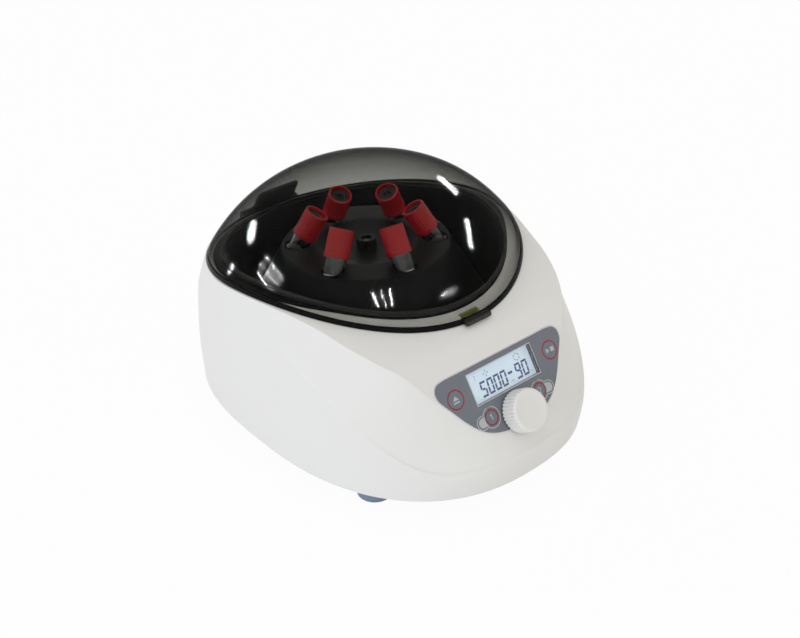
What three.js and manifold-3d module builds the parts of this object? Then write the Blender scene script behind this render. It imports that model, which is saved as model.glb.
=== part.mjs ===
// A low-speed bench centrifuge with a domed clear lid, a six-place rotor and a sloped control face.
// Millimetres, +Z up, the control face towards -Y, the hinge at +Y.
// The sizes are given about the rotor axis; the finished model is centred on its own footprint.
import * as THREE from 'three';
import { mergeVertices } from 'three/addons/utils/BufferGeometryUtils.js';
import Module from 'manifold-3d';

const wasm = await Module();
wasm.setup();

// Housing seen from above
const housing_side_margin = 3.6;
const housing_front_margin = 59.3;
const housing_rear_margin = 16.9;
const housing_centre_forward = 22.3;
const front_curve_share = 2.38;
const rear_curve_share = 2.7;
const housing_wall = 3;
const base_height = 14.7;

// Deck and lid seat seen from the side
const seat_above_rotor = 3;
const seat_centre_back = 4.8;
const seat_side_margin = 18.4;
const seat_front_margin = 24.3;
const seat_rear_margin = 19.5;
const seat_curve_share = 2;
const seat_fall_share = 0.0836;
const seat_front_dip = 32.9;
const seat_rear_dip = 4.9;
const ledge_width = 14;
const deck_bend = 4;

// Sloped control face
const face_slope_angle = 57.07;
const face_top_margin = 16.5;
const face_top_drop = 35.3;
const pocket_depth = 1.3;
const pocket_margin = 1;

// Chin that runs round the front and fades out along the sides
const chin_below_face_top = 65.2;
const chin_side_share = 0.77;
const chin_flare = 2.5;
const chin_round = 2.8;
const chin_edge_height = 6;
const chin_fade_angles = [6, 68];
const flare_fade_angles = [15, 60];
const scoop_share = 0.15;
const swell_share = 0.09;
const scoop_start_forward = 40;
const scoop_full_forward = 150;

// Shoulder between the walls and the deck
const shoulder_side_inset = 2.5;
const shoulder_front_inset = 17;
const shoulder_nose_inset = 8.5;
const shoulder_rear_inset = 9;
const shoulder_start_back = 5;
const shoulder_full_forward = 90;
const nose_half_width = 22;
const nose_blend_width = 40;
const rear_start_back = 20;
const rear_full_back = 90;
const front_drop_share = 0.05;
const rear_drop_share = 0.5;
const corner_start_across = 40;
const corner_full_across = 85;
const corner_inset = 4;
const corner_drop = 4;
const corner_drop_share = 0.1;
const side_lean = 1;
const rear_lean = 7;
const lean_start_height = 55;
const lean_full_height = 110;
const lean_curve_share = 1.5;

// Lid
const lid_wall = 3.2;
const lid_gap = 0.4;
const dome_above_caps = 35.4;
const dome_drop_share = 1.025;
const dome_lean_back = 4;
const lip_half_width = 12;
const lip_reach = 4;
const lip_thickness = 3;

// Rotor bowl and its gasket
const bowl_swing_gap = 5.5;
const bowl_wall = 2.5;
const bowl_above_plate = 17.2;
const bowl_straight_drop = 38.5;
const bowl_fillet = 9;
const bowl_lip_overlap = 3.5;
const bowl_lip_thickness = 1.5;
const bowl_boss_gap = 5;
const bowl_boss_rise = 1.9;
const bowl_boss_taper = 3;
const bowl_hole_radius = 15;
const gasket_width = 3;
const gasket_height = 3;

// Rotor
const rotor_above_floor = 14;
const rotor_floor_thickness = 1.755;
const rotor_skirt_rise = 12;
const rotor_edge_margin = 0.08;
const rotor_top_margin = 12.6;
const rotor_top_rise = 1.3;
const rotor_skin = 3.5;
const rotor_deck = 5;
const rotor_hub_radius = 14;
const rotor_hub_above_boss = 12;
const rotor_dish_radius = 24;
const rotor_dish_depth = 4.5;
const rotor_dish_edge = 40;
const sleeve_wall = 2.4;
const shaft_radius = 4;
const nut_radius = 8;
const nut_height = 6.7;
const nut_flute_depth = 0.7;
const nut_flute_count = 18;

// Tubes in the rotor
const place_count = 6;
const place_start_angle = 23.1;
const tube_tilt_angle = 31;
const tube_entry_radius = 53.2;
const tube_radius = 8;
const tube_wall = 1.1;
const tube_length = 100;
const tube_standing = 24.4;
const tube_clearance = 0.5;
const cap_radius = 9.8;
const cap_height = 24;
const cap_rise = 8;
const cap_wall = 1.5;
const cap_taper = 0.5;
const stopper_depth = 5;
const stopper_recess = 3;
const stopper_hole_radius = 3.2;
const stopper_hole_depth = 3;

// Motor and its mount
const motor_radius = 38;
const motor_height = 40;
const motor_top_radius = 12;
const motor_top_height = 3;
const motor_bore_depth = 9;
const plate_radius = 62;
const damper_inset = 10;
const plate_thickness = 2.5;
const damper_count = 3;
const damper_radius = 8;
const damper_height = 10;
const damper_waist = 1.5;
const boot_height = 4;
const boot_lip = 3;

// Base tray and feet
const tray_thickness = 2.5;
const tray_rim_height = 2;
const tray_rim_wall = 2;
const tray_post_radius = 7;
const tray_post_height = 2;
const foot_radius = 12.3;
const foot_taper = 0.6;
const foot_edge = 1.4;
const foot_bore_radius = 2.6;
const foot_recess_radius = 5.5;
const foot_recess_depth = 6;
const front_foot_side_margin = 37.5;
const front_foot_end_margin = 73.3;
const rear_foot_side_margin = 48.5;
const rear_foot_end_margin = 49.7;
const tower_radius = 5;
const vent_count = 5;
const vent_length = 34;
const vent_width = 3;
const vent_pitch = 8;

// Control overlay, distances down the face from its top line
const overlay_thickness = 0.8;
const overlay_top = 7.3;
const overlay_top_half_width = 51;
const overlay_corner_half_width = 61;
const overlay_corner_down = 16;
const overlay_side_half_width = 52;
const overlay_side_down = 33;
const overlay_foot_half_width = 27;
const overlay_foot_down = 57.5;
const overlay_bottom = 61.5;

// Display
const window_half_width = 32.3;
const window_top = 10.6;
const window_bottom = 35.1;
const window_thickness = 0.8;
const display_depth = 6.5;

// Keys
const large_key_radius = 6.4;
const large_key_across = 47.3;
const large_key_down = 23;
const small_key_radius = 5;
const small_key_across = 24.5;
const small_key_down = 46;
const key_proud = 0.5;
const key_flange_width = 1.5;
const key_flange_thickness = 1.2;
const key_stem_radius = 2.5;
const key_travel = 0.4;

// Control knob and its encoder
const knob_down = 52;
const knob_radius = 16;
const knob_height = 13.2;
const knob_gap = 1;
const knob_rib_count = 36;
const knob_rib_depth = 0.7;
const knob_edge = 1.2;
const knob_wall = 2.2;
const knob_top_thickness = 2.6;
const knob_boss_radius = 5.2;
const encoder_half_width = 6.5;
const encoder_height = 6.5;
const encoder_bush_radius = 4.6;
const encoder_bush_height = 6.2;
const encoder_shaft_radius = 3;
const encoder_bore_depth = 10;
const encoder_travel = 0.5;
const plunger_height = 1.5;

// Control board behind the face
const board_depth = 12;
const board_thickness = 1.6;
const board_half_width = 54;
const board_top = 12;
const board_bottom = 57;
const switch_height = 2.2;
const switch_half_width = 3;

// Power board
const power_board_width = 40;
const power_board_length = 50;
const power_board_side_margin = 47.5;
const power_board_back = 62;
const power_post_height = 5;
const power_post_radius = 3;
const capacitor_radius = 8;
const capacitor_height = 22;
const transformer_width = 22;
const transformer_height = 17;

// Lid lock at the front of the ledge
const striker_half_width = 7;
const striker_thickness = 1.5;
const striker_inset = 6.4;
const striker_length = 26;
const striker_window_half_width = 4.5;
const striker_window_height = 6.5;
const striker_window_lift = 3;
const striker_block_depth = 5;
const striker_block_height = 4;
const striker_block_lift = 2.6;
const lock_half_width = 13;
const lock_drop = 13.5;
const lock_height = 17.5;
const lock_bowl_gap = 0.4;
const lock_front = 12.5;
const lock_slot_margin = 2;
const lock_ear_length = 4;
const bolt_half_width = 3;
const bolt_height = 4;
const bolt_length = 10;
const bolt_set_back = 1.6;
const bolt_clearance = 0.35;

// Lid hinge at the rear
const hinge_behind_seat = 7.2;
const hinge_drop = 18.5;
const hinge_pin_radius = 2.5;
const hinge_barrel_radius = 5;
const hinge_arm_half_width = 20;
const hinge_bracket_width = 8;
const hinge_gap = 0.4;
const hinge_pad_half_width = 38;
const hinge_notch_depth = 8;
const hinge_pad_wall = 4;
const hinge_strap_thickness = 3;
const hinge_strap_height = 16;

// Power inlet and switch in a flat recess of the rear wall
const rear_recess_across = -6;
const rear_recess_half_width = 31;
const rear_recess_half_height = 15;
const rear_recess_lift = 23.3;
const rear_floor_depth = 3.7;
const rear_pad_thickness = 8;
const inlet_across = -18;
const inlet_flange_half_width = 15.5;
const inlet_flange_half_height = 12;
const inlet_body_half_width = 14;
const inlet_body_half_height = 10;
const inlet_flange_thickness = 2;
const inlet_depth = 19;
const socket_half_width = 12.3;
const socket_half_height = 8.4;
const socket_corner = 4.5;
const socket_depth = 16;
const pin_half_width = 1;
const pin_half_height = 2;
const pin_length = 13;
const pin_across = 7;
const pin_down = 3;
const earth_pin_up = 3.6;
const switch_across = 14;
const switch_flange_half_width = 8;
const switch_flange_half_height = 11;
const switch_body_half_width = 6.6;
const switch_body_half_height = 9.8;
const switch_depth = 15;
const rocker_half_width = 5;
const rocker_half_height = 8;
const rocker_thickness = 5;
const rocker_valley = 1.4;
const rocker_tilt_angle = 10;
const rocker_clearance = 0.6;

// Clearances shared by the pieces
const seat_gap = 0.3;
const cut_overrun = 20;

// Facets
const housing_steps = 44;
const bowl_steps = 36;
const rotor_steps = 28;
const round_steps = 16;
const small_round_steps = 10;

const radians = THREE.MathUtils.degToRad;
const lerp = THREE.MathUtils.lerp;
const smoothstep = THREE.MathUtils.smoothstep;
const half_turn = Math.PI;
const quarter_turn = Math.PI / 2;
const full_turn = Math.PI * 2;

// Heights that follow, from the base up through motor, bowl and rotor to the lid
const tray_top = base_height + tray_thickness;
const damper_low = tray_top + tray_post_height + seat_gap;
const plate_low = damper_low + damper_height + seat_gap;
const motor_low = plate_low + plate_thickness + seat_gap;
const motor_top = motor_low + motor_height;
const bowl_floor_height = plate_low + plate_thickness + bowl_above_plate + bowl_wall;
const bowl_boss_height = motor_top + motor_top_height + bowl_boss_rise + bowl_wall;
const bore_radius = tube_radius + tube_clearance;
const tube_run = tube_length - tube_standing - tube_radius;
const rotor_bottom_height = bowl_floor_height + rotor_above_floor;
const rotor_skirt_height = rotor_bottom_height + rotor_skirt_rise;
const rotor_hub_height = bowl_boss_height + rotor_hub_above_boss;
const tube_end_height = rotor_bottom_height + rotor_floor_thickness + bore_radius;
const tube_entry_height = tube_end_height + tube_run * Math.cos(radians(tube_tilt_angle));
const rotor_top_height = tube_entry_height + rotor_top_rise;
const seat_height = rotor_top_height + seat_above_rotor;
const bowl_straight_height = seat_height - bowl_straight_drop;
const cap_slope_height = (tube_standing + cap_rise) * Math.cos(radians(tube_tilt_angle));
const cap_edge_height = cap_radius * Math.sin(radians(tube_tilt_angle));
const cap_top_height = tube_entry_height + cap_slope_height + cap_edge_height;
const dome_height = cap_top_height - seat_height + dome_above_caps;
const dome_centre_drop = dome_height * dome_drop_share;
const face_top_height = seat_height - face_top_drop;
const chin_front_height = face_top_height - chin_below_face_top;
const rear_recess_height = base_height + rear_recess_lift;
const hinge_height = seat_height - hinge_drop;
const hinge_notch_floor = hinge_height - hinge_notch_depth;

// Lengths and widths that follow, from the tubes out through rotor, bowl and seat to the housing
const tube_end_radius = tube_entry_radius + tube_run * Math.sin(radians(tube_tilt_angle));
const rotor_skirt_radius = tube_end_radius + bore_radius + sleeve_wall + rotor_edge_margin;
const rotor_top_radius = tube_entry_radius + rotor_top_margin;
const bowl_radius = rotor_skirt_radius + bowl_swing_gap;
const bowl_boss_radius = motor_radius + bowl_boss_gap;
const damper_circle_radius = plate_radius - damper_inset;
const seat_half_width = bowl_radius + seat_side_margin;
const seat_front_length = bowl_radius + seat_front_margin;
const seat_rear_length = bowl_radius + seat_rear_margin;
const seat_front = seat_front_length - seat_centre_back;
const seat_back = seat_rear_length + seat_centre_back;
const housing_half_width = seat_half_width + housing_side_margin;
const housing_front_length = seat_front + housing_front_margin - housing_centre_forward;
const housing_rear_length = seat_back + housing_rear_margin + housing_centre_forward;
const rear_edge = housing_rear_length - housing_centre_forward;
const face_top_forward = seat_front + face_top_margin;
const front_foot_across = housing_half_width - front_foot_side_margin;
const front_foot_forward = seat_front + housing_front_margin - front_foot_end_margin;
const rear_foot_across = housing_half_width - rear_foot_side_margin;
const rear_foot_back = rear_edge - rear_foot_end_margin;
const power_board_across = housing_half_width - power_board_side_margin;
const hinge_back = seat_back + hinge_behind_seat;
const hinge_notch_front = hinge_back - hinge_notch_depth;

// Solids

function signedVolume(geometry) {
  const position = geometry.attributes.position;
  const index = geometry.index;
  const corners = [new THREE.Vector3(), new THREE.Vector3(), new THREE.Vector3()];
  let volume = 0;
  for (let i = 0; i < index.count; i += 3) {
    corners.forEach((corner, k) => corner.fromBufferAttribute(position, index.getX(i + k)));
    volume += corners[0].dot(corners[1].clone().cross(corners[2]));
  }
  return volume;
}

// Shared corners are merged, flat triangles dropped, and the faces made to point out
function closedBody(geometry) {
  geometry.deleteAttribute('normal');
  geometry.deleteAttribute('uv');
  const merged = mergeVertices(geometry, 1e-4);
  const kept = [];
  const index = merged.index;
  for (let i = 0; i < index.count; i += 3) {
    const triangle = [index.getX(i), index.getX(i + 1), index.getX(i + 2)];
    if (new Set(triangle).size === 3) {
      kept.push(...triangle);
    }
  }
  merged.setIndex(kept);
  if (signedVolume(merged) < 0) {
    for (let i = 0; i < kept.length; i += 3) {
      [kept[i], kept[i + 1]] = [kept[i + 1], kept[i]];
    }
    merged.setIndex(kept);
  }
  return merged;
}

function toManifold(geometry) {
  const mesh = new wasm.Mesh({
    numProp: 3,
    vertProperties: new Float32Array(geometry.attributes.position.array),
    triVerts: new Uint32Array(geometry.index.array),
  });
  mesh.merge();
  return new wasm.Manifold(mesh);
}

function fromManifold(manifold) {
  const mesh = manifold.getMesh();
  const geometry = new THREE.BufferGeometry();
  geometry.setAttribute('position', new THREE.BufferAttribute(mesh.vertProperties, 3));
  geometry.setIndex(new THREE.BufferAttribute(mesh.triVerts, 1));
  return geometry;
}

function combine(operation, first, others) {
  let result = toManifold(first);
  for (const other of others) {
    result = result[operation](toManifold(other));
  }
  return fromManifold(result);
}

const join = (first, ...others) => combine('add', first, others);
const cut = (first, ...others) => combine('subtract', first, others);
const common = (first, ...others) => combine('intersect', first, others);

// A skin through rings of points; a looped skin closes on its first ring, the other has flat ends
function loft(rings, looped) {
  const count = rings[0].length;
  const points = rings.flat();
  const index = [];
  const bands = looped ? rings.length : rings.length - 1;
  for (let band = 0; band < bands; band += 1) {
    const low = band * count;
    const high = ((band + 1) % rings.length) * count;
    for (let i = 0; i < count; i += 1) {
      const next = (i + 1) % count;
      index.push(low + i, low + next, high + next);
      index.push(low + i, high + next, high + i);
    }
  }
  if (!looped) {
    const ends = [rings[0], rings[rings.length - 1]];
    ends.forEach((ring, end) => {
      const centre = ring.reduce((sum, point) => sum.add(point), new THREE.Vector3()).divideScalar(count);
      const base = end === 0 ? 0 : (rings.length - 1) * count;
      points.push(centre);
      for (let i = 0; i < count; i += 1) {
        const pair = [base + i, base + ((i + 1) % count)];
        index.push(points.length - 1, ...(end === 0 ? pair.reverse() : pair));
      }
    });
  }
  const geometry = new THREE.BufferGeometry().setFromPoints(points);
  geometry.setIndex(index);
  return closedBody(geometry);
}

// Profile points are [radius, height]
function revolve(profile, steps) {
  const points = profile.map(([radius, height]) => new THREE.Vector2(radius, height));
  const geometry = new THREE.LatheGeometry(points, steps);
  geometry.rotateX(quarter_turn);
  return closedBody(geometry);
}

// A profile that bounds a ring and so closes on its own first point
function revolveRing(profile, steps) {
  return revolve([...profile, profile[0]], steps);
}

function extrude(shape, depth, start) {
  const settings = { depth, bevelEnabled: false, curveSegments: small_round_steps / 2 };
  return closedBody(new THREE.ExtrudeGeometry(shape, settings).translate(0, 0, start));
}

function block(x_range, y_range, z_range) {
  const ranges = [x_range, y_range, z_range];
  const size = ranges.map(([low, high]) => high - low);
  const centre = ranges.map(([low, high]) => (low + high) / 2);
  return closedBody(new THREE.BoxGeometry(...size).translate(...centre));
}

function rod(radius, low, high, steps) {
  return revolve([[0, low], [radius, low], [radius, high], [0, high]], steps);
}

function moved(geometry, x, y, z) {
  return geometry.clone().translate(x, y, z);
}

function symmetric(half) {
  return [-half, half];
}

// Outlines seen from above, found along a direction from the rotor axis

const housing_outline = {
  half_width: housing_half_width,
  centre: -housing_centre_forward,
  front: housing_front_length,
  rear: housing_rear_length,
  front_power: front_curve_share,
  rear_power: rear_curve_share,
};

const seat_outline = {
  half_width: seat_half_width,
  centre: seat_centre_back,
  front: seat_front_length,
  rear: seat_rear_length,
  front_power: seat_curve_share,
  rear_power: seat_curve_share,
};

function shrunk(outline, inset) {
  return {
    ...outline,
    half_width: outline.half_width - inset,
    front: outline.front - inset,
    rear: outline.rear - inset,
  };
}

function outlineEnds(outline, y) {
  const behind = y > outline.centre;
  return {
    length: behind ? outline.rear : outline.front,
    power: behind ? outline.rear_power : outline.front_power,
  };
}

function outlineExcess(outline, x, y) {
  const { length, power } = outlineEnds(outline, y);
  const across = Math.abs(x / outline.half_width) ** power;
  return across + Math.abs((y - outline.centre) / length) ** power - 1;
}

function outlinePoint(outline, angle) {
  let low = 0;
  let high = outline.half_width + outline.front + outline.rear;
  for (let step = 0; step < 48; step += 1) {
    const middle = (low + high) / 2;
    if (outlineExcess(outline, middle * Math.cos(angle), middle * Math.sin(angle)) > 0) {
      high = middle;
    } else {
      low = middle;
    }
  }
  return new THREE.Vector2(low * Math.cos(angle), low * Math.sin(angle));
}

function outlineNormal(outline, point) {
  const { length, power } = outlineEnds(outline, point.y);
  const along = (point.y - outline.centre) / length;
  const across = point.x / outline.half_width;
  const x = Math.sign(across) * Math.abs(across) ** (power - 1) / outline.half_width;
  const y = Math.sign(along) * Math.abs(along) ** (power - 1) / length;
  return new THREE.Vector2(x, y).normalize();
}

// Heights of the top seen from the side

function seatHeight(y) {
  const back = y - seat_centre_back;
  const front_dip = seat_front_dip * (back / seat_front_length) ** 2;
  const rear_dip = seat_rear_dip * (back / seat_rear_length) ** 2;
  return seat_height - seat_fall_share * back - (back < 0 ? front_dip : rear_dip);
}

function topHeight(y) {
  const face = face_top_height + (y + face_top_forward) * Math.tan(radians(face_slope_angle));
  const deck = seatHeight(y);
  return (face + deck - Math.hypot(face - deck, deck_bend)) / 2;
}

function topSlope(y) {
  return (topHeight(y + deck_bend) - topHeight(y - deck_bend)) / (2 * deck_bend);
}

// One upright section of the housing: how far in from the outline and how high each level lies

const wall_level_share = 0.45;
const flare_level_share = 0.75;
const edge_level_share = 0.27;
const edge_inset_share = 0.25;
const bend_shares = [0.3, 0.6, 0.85];
const deck_shares = [0.12, 0.26, 0.4, 0.55, 0.7, 0.86, 1];
const inner_deck_shares = [0.3, 0.65];

// How far into a rounded rear corner a place on the outline lies, from 0 to 1
function cornerShare(point) {
  const rear = smoothstep(point.y, rear_start_back, rear_full_back);
  return rear * smoothstep(Math.abs(point.x), corner_start_across, corner_full_across);
}

function shoulderInset(point) {
  const front = smoothstep(-point.y, -shoulder_start_back, shoulder_full_forward);
  const nose = 1 - smoothstep(Math.abs(point.x), nose_half_width, nose_half_width + nose_blend_width);
  const rear = smoothstep(point.y, rear_start_back, rear_full_back);
  const nose_cut = front * nose * (shoulder_front_inset - shoulder_nose_inset);
  const front_inset = front * (shoulder_front_inset - shoulder_side_inset) - (point.y < 0 ? nose_cut : 0);
  const rear_inset = rear * (shoulder_rear_inset - shoulder_side_inset) + cornerShare(point) * corner_inset;
  return shoulder_side_inset + front_inset + rear_inset;
}

function housingSection(angle) {
  const edge = outlinePoint(housing_outline, angle);
  const seat = outlinePoint(seat_outline, angle);
  const opening = outlinePoint(shrunk(seat_outline, ledge_width), angle);
  const normal = outlineNormal(housing_outline, edge);
  const inward = (inset) => edge.clone().addScaledVector(normal, -inset);
  const at = (inset, height) => {
    const place = inward(inset);
    return new THREE.Vector3(place.x, place.y, height);
  };

  const ahead = edge.y < housing_outline.centre;
  const across_share = Math.min(1, Math.abs(edge.x) / housing_half_width) ** (front_curve_share / 2);
  const turn = ahead ? THREE.MathUtils.radToDeg(Math.acos(across_share)) : 0;
  const chin = smoothstep(turn, ...chin_fade_angles);
  const flare = smoothstep(turn, ...flare_fade_angles);
  const rear = smoothstep(edge.y, 0, rear_full_back);
  const lean = lerp(side_lean, rear_lean, rear) * (1 - flare);
  const leanAt = (height) => {
    const rise = Math.max(0, height - lean_start_height) / (lean_full_height - lean_start_height);
    return lean * rise ** lean_curve_share;
  };

  const shoulder_inset = shoulderInset(edge);
  const shoulder = inward(shoulder_inset);
  const corner = cornerShare(edge);
  const drop_share = lerp(front_drop_share, rear_drop_share, rear) + corner * corner_drop_share;
  const drop = drop_share * shoulder.distanceTo(seat) + corner * corner_drop;
  const shoulder_height = topHeight(shoulder.y) - drop;

  const side_chin_height = lerp(base_height, shoulder_height, chin_side_share);
  const chin_height = lerp(side_chin_height, chin_front_height, chin);
  const crest_inset = leanAt(chin_height) + flare * (chin_round - chin_flare);
  const edge_drop = chin_edge_height * edge_level_share;
  const hollow = smoothstep(-edge.y, scoop_start_forward, scoop_full_forward);
  const sag = lerp(-swell_share, scoop_share, hollow) * (shoulder_height - chin_height);
  const bend = (share) => {
    const start = new THREE.Vector2(crest_inset, chin_height);
    const end = new THREE.Vector2(shoulder_inset, shoulder_height);
    const middle = start.clone().lerp(end, 0.5);
    middle.y -= sag;
    return new THREE.QuadraticBezierCurve(start, middle, end).getPoint(share);
  };
  const deck = (start, end, share, thickness) => {
    const place = start.clone().lerp(end, share);
    const skin = thickness * Math.hypot(1, topSlope(place.y));
    return new THREE.Vector3(place.x, place.y, topHeight(place.y) - drop * (1 - share) ** 2 - skin);
  };

  const wall_height = lerp(base_height, chin_height, wall_level_share);
  const wall_inset = leanAt(wall_height) - chin_flare * flare * flare_level_share;
  const low_edge_height = chin_height - chin_edge_height;
  const low_edge_inset = leanAt(low_edge_height) - chin_flare * flare;
  const high_edge_inset = leanAt(chin_height - edge_drop) + flare * (chin_round * edge_inset_share - chin_flare);
  const outer = [
    at(0, base_height),
    at(wall_inset, wall_height),
    at(low_edge_inset, low_edge_height),
    at(high_edge_inset, chin_height - edge_drop),
    at(crest_inset, chin_height),
  ];
  for (const share of bend_shares) {
    const place = bend(share);
    outer.push(at(place.x, place.y));
  }
  outer.push(at(shoulder_inset, shoulder_height));
  for (const share of deck_shares) {
    outer.push(deck(shoulder, seat, share, 0));
  }
  outer.push(new THREE.Vector3(opening.x, opening.y, seatHeight(opening.y)));

  const middle = bend(0.5);
  const inner_shoulder = inward(shoulder_inset + housing_wall);
  const inner = [
    new THREE.Vector3(opening.x, opening.y, seatHeight(opening.y) - housing_wall),
    ...inner_deck_shares.map((share) => deck(opening, inner_shoulder, share, housing_wall)),
    deck(inner_shoulder, seat, 0, housing_wall),
    at(middle.x + housing_wall, middle.y - housing_wall / 2),
    at(crest_inset + housing_wall, chin_height - housing_wall),
    at(wall_inset + housing_wall, wall_height),
    at(housing_wall, base_height),
  ];
  return { outer, inner };
}

function ringAngles(steps) {
  return Array.from({ length: steps }, (_, i) => i / steps * full_turn);
}

function transpose(sections) {
  return sections[0].map((_, level) => sections.map((section) => section[level]));
}

const housing_sections = ringAngles(housing_steps).map(housingSection);
const housing_block = loft(transpose(housing_sections.map(({ outer }) => outer)), false);

const upper_shell = loft(transpose(housing_sections.map(({ outer, inner }) => [...outer, ...inner])), true);

// The face group carries what sits in the sloped face: x across, -y down the slope, z out of it
const face = new THREE.Group();
face.position.set(0, -face_top_forward, face_top_height);
face.rotation.x = radians(face_slope_angle);
face.updateMatrix();

function onFace(geometry) {
  return closedBody(geometry.clone().applyMatrix4(face.matrix));
}

function overlayShape(grow) {
  const shape = new THREE.Shape();
  const top = -overlay_top + grow;
  const top_x = overlay_top_half_width;
  const corner_x = overlay_corner_half_width + grow;
  const corner_y = -overlay_corner_down;
  const side_x = overlay_side_half_width + grow;
  const side_y = -overlay_side_down;
  const foot_x = overlay_foot_half_width + grow;
  const foot_y = -overlay_foot_down - grow / 2;
  const bottom = -overlay_bottom - grow;
  shape.moveTo(-top_x, top);
  shape.lineTo(top_x, top);
  shape.quadraticCurveTo(corner_x + grow, top, corner_x, corner_y);
  shape.quadraticCurveTo(corner_x - grow, (corner_y + side_y) / 2, side_x, side_y);
  shape.quadraticCurveTo((side_x + foot_x) / 2, (side_y + foot_y) / 2 - grow, foot_x, foot_y);
  shape.quadraticCurveTo(foot_x / 2, bottom, 0, bottom);
  shape.quadraticCurveTo(-foot_x / 2, bottom, -foot_x, foot_y);
  shape.quadraticCurveTo(-(side_x + foot_x) / 2, (side_y + foot_y) / 2 - grow, -side_x, side_y);
  shape.quadraticCurveTo(-corner_x + grow, (corner_y + side_y) / 2, -corner_x, corner_y);
  shape.quadraticCurveTo(-corner_x - grow, top, -top_x, top);
  return shape;
}

const key_places = {
  door_key: { across: -large_key_across, down: large_key_down, radius: large_key_radius },
  start_stop_key: { across: large_key_across, down: large_key_down, radius: large_key_radius },
  program_1_key: { across: -small_key_across, down: small_key_down, radius: small_key_radius },
  program_2_key: { across: small_key_across, down: small_key_down, radius: small_key_radius },
};

const foot_places = {
  front_left: [-front_foot_across, -front_foot_forward],
  front_right: [front_foot_across, -front_foot_forward],
  rear_left: [-rear_foot_across, rear_foot_back],
  rear_right: [rear_foot_across, rear_foot_back],
};

// Openings cut in the sloped face, all drawn down from the face plane
function faceCutters() {
  const through = -housing_wall - cut_overrun;
  const cutters = [extrude(overlayShape(pocket_margin), pocket_depth + cut_overrun, -pocket_depth)];
  cutters.push(block(
    symmetric(window_half_width + seat_gap),
    [-window_bottom - seat_gap, -window_top + seat_gap],
    [through, cut_overrun],
  ));
  for (const { across, down, radius } of Object.values(key_places)) {
    const flange_room = radius + key_flange_width + seat_gap;
    cutters.push(moved(rod(radius + seat_gap, through, cut_overrun, round_steps), across, -down, 0));
    cutters.push(moved(rod(flange_room, through, -housing_wall, round_steps), across, -down, 0));
  }
  const bush_hole = rod(encoder_bush_radius + seat_gap, through, cut_overrun, round_steps);
  cutters.push(moved(bush_hole, 0, -knob_down, 0));
  return cutters.map(onFace);
}

// The lock stands under the ledge at the front, on the lid's centre line
const striker_front = striker_inset - seat_front;
const striker_back = striker_front + striker_thickness;
const striker_top = seatHeight(striker_front) + striker_block_lift;
const striker_bottom = striker_top - striker_length;
const bolt_axis_height = striker_bottom + striker_window_lift + striker_window_height / 2;
const slot_x = symmetric(striker_half_width + lock_slot_margin);
const slot_y = [striker_front - lock_slot_margin, striker_back + lock_slot_margin];
const lock_top_height = seatHeight(striker_front) - lock_drop;
const lock_back = ledge_width + seat_gap - lock_bowl_gap - seat_front;

const rear_floor = rear_edge - rear_floor_depth;

function upperHousing() {
  const rear_recess = [
    [rear_recess_across - rear_recess_half_width, rear_recess_across + rear_recess_half_width],
    [rear_floor, rear_edge + cut_overrun],
    [rear_recess_height - rear_recess_half_height, rear_recess_height + rear_recess_half_height],
  ];
  const rear_pad = block(
    [rear_recess[0][0] - housing_wall, rear_recess[0][1] + housing_wall],
    [rear_floor - rear_pad_thickness, rear_edge],
    [rear_recess[2][0] - housing_wall, rear_recess[2][1] + housing_wall],
  );
  const hinge_pad = block(
    symmetric(hinge_pad_half_width),
    [hinge_notch_front - hinge_pad_wall, rear_edge],
    [hinge_notch_floor - hinge_pad_wall, seat_height],
  );
  const towers = Object.values(foot_places).map(([x, y]) => {
    const low = base_height + tray_thickness + seat_gap;
    return moved(rod(tower_radius, low, seat_height, small_round_steps), x, y, 0);
  });
  const inside = [rear_pad, hinge_pad, ...towers].map((piece) => common(piece, housing_block));
  const shell = join(upper_shell, ...inside);
  const rear_cutters = [
    block(...rear_recess),
    block(
      [inlet_across - inlet_body_half_width - seat_gap, inlet_across + inlet_body_half_width + seat_gap],
      [rear_floor - rear_pad_thickness - cut_overrun, rear_edge],
      [rear_recess_height - inlet_body_half_height - seat_gap, rear_recess_height + inlet_body_half_height + seat_gap],
    ),
    block(
      [switch_across - switch_body_half_width - seat_gap, switch_across + switch_body_half_width + seat_gap],
      [rear_floor - rear_pad_thickness - cut_overrun, rear_edge],
      [rear_recess_height - switch_body_half_height - seat_gap, rear_recess_height + switch_body_half_height + seat_gap],
    ),
  ];
  const hinge_notch = block(
    symmetric(hinge_pad_half_width - hinge_pad_wall),
    [hinge_notch_front, rear_edge + cut_overrun],
    [hinge_notch_floor, seat_height + cut_overrun],
  );
  const lock_slot = block(slot_x, slot_y, [lock_top_height, seat_height + cut_overrun]);
  return cut(shell, ...faceCutters(), ...rear_cutters, hinge_notch, lock_slot);
}

// Lid: outer and inner skins are the same dome, the inner one drawn in by the wall
function domePoint(angle, level, inset, lift) {
  const outline = shrunk(seat_outline, inset);
  const height = dome_height - inset;
  const depth = dome_centre_drop + dome_height;
  const widest = Math.sqrt(1 - (dome_centre_drop / depth) ** 2);
  const share = Math.sqrt(Math.max(0, 1 - ((dome_centre_drop + dome_height * level) / depth) ** 2)) / widest;
  const rim = outlinePoint(outline, angle);
  const x = rim.x * share;
  const y = seat_centre_back + (rim.y - seat_centre_back) * share + dome_lean_back * level;
  const saddle = seatHeight(rim.y) - seatHeight(seat_centre_back);
  const fall = -seat_fall_share * (y - seat_centre_back) * level;
  return new THREE.Vector3(x, y, seat_height + lift * (1 - level) + height * level + saddle * (1 - level) * share + fall);
}

const outer_dome_shares = [0, 0.1, 0.27, 0.46, 0.65, 0.82, 0.94, 0.985];
const inner_dome_shares = [0, 0.1, 0.28, 0.55, 0.8, 0.96];

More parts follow.
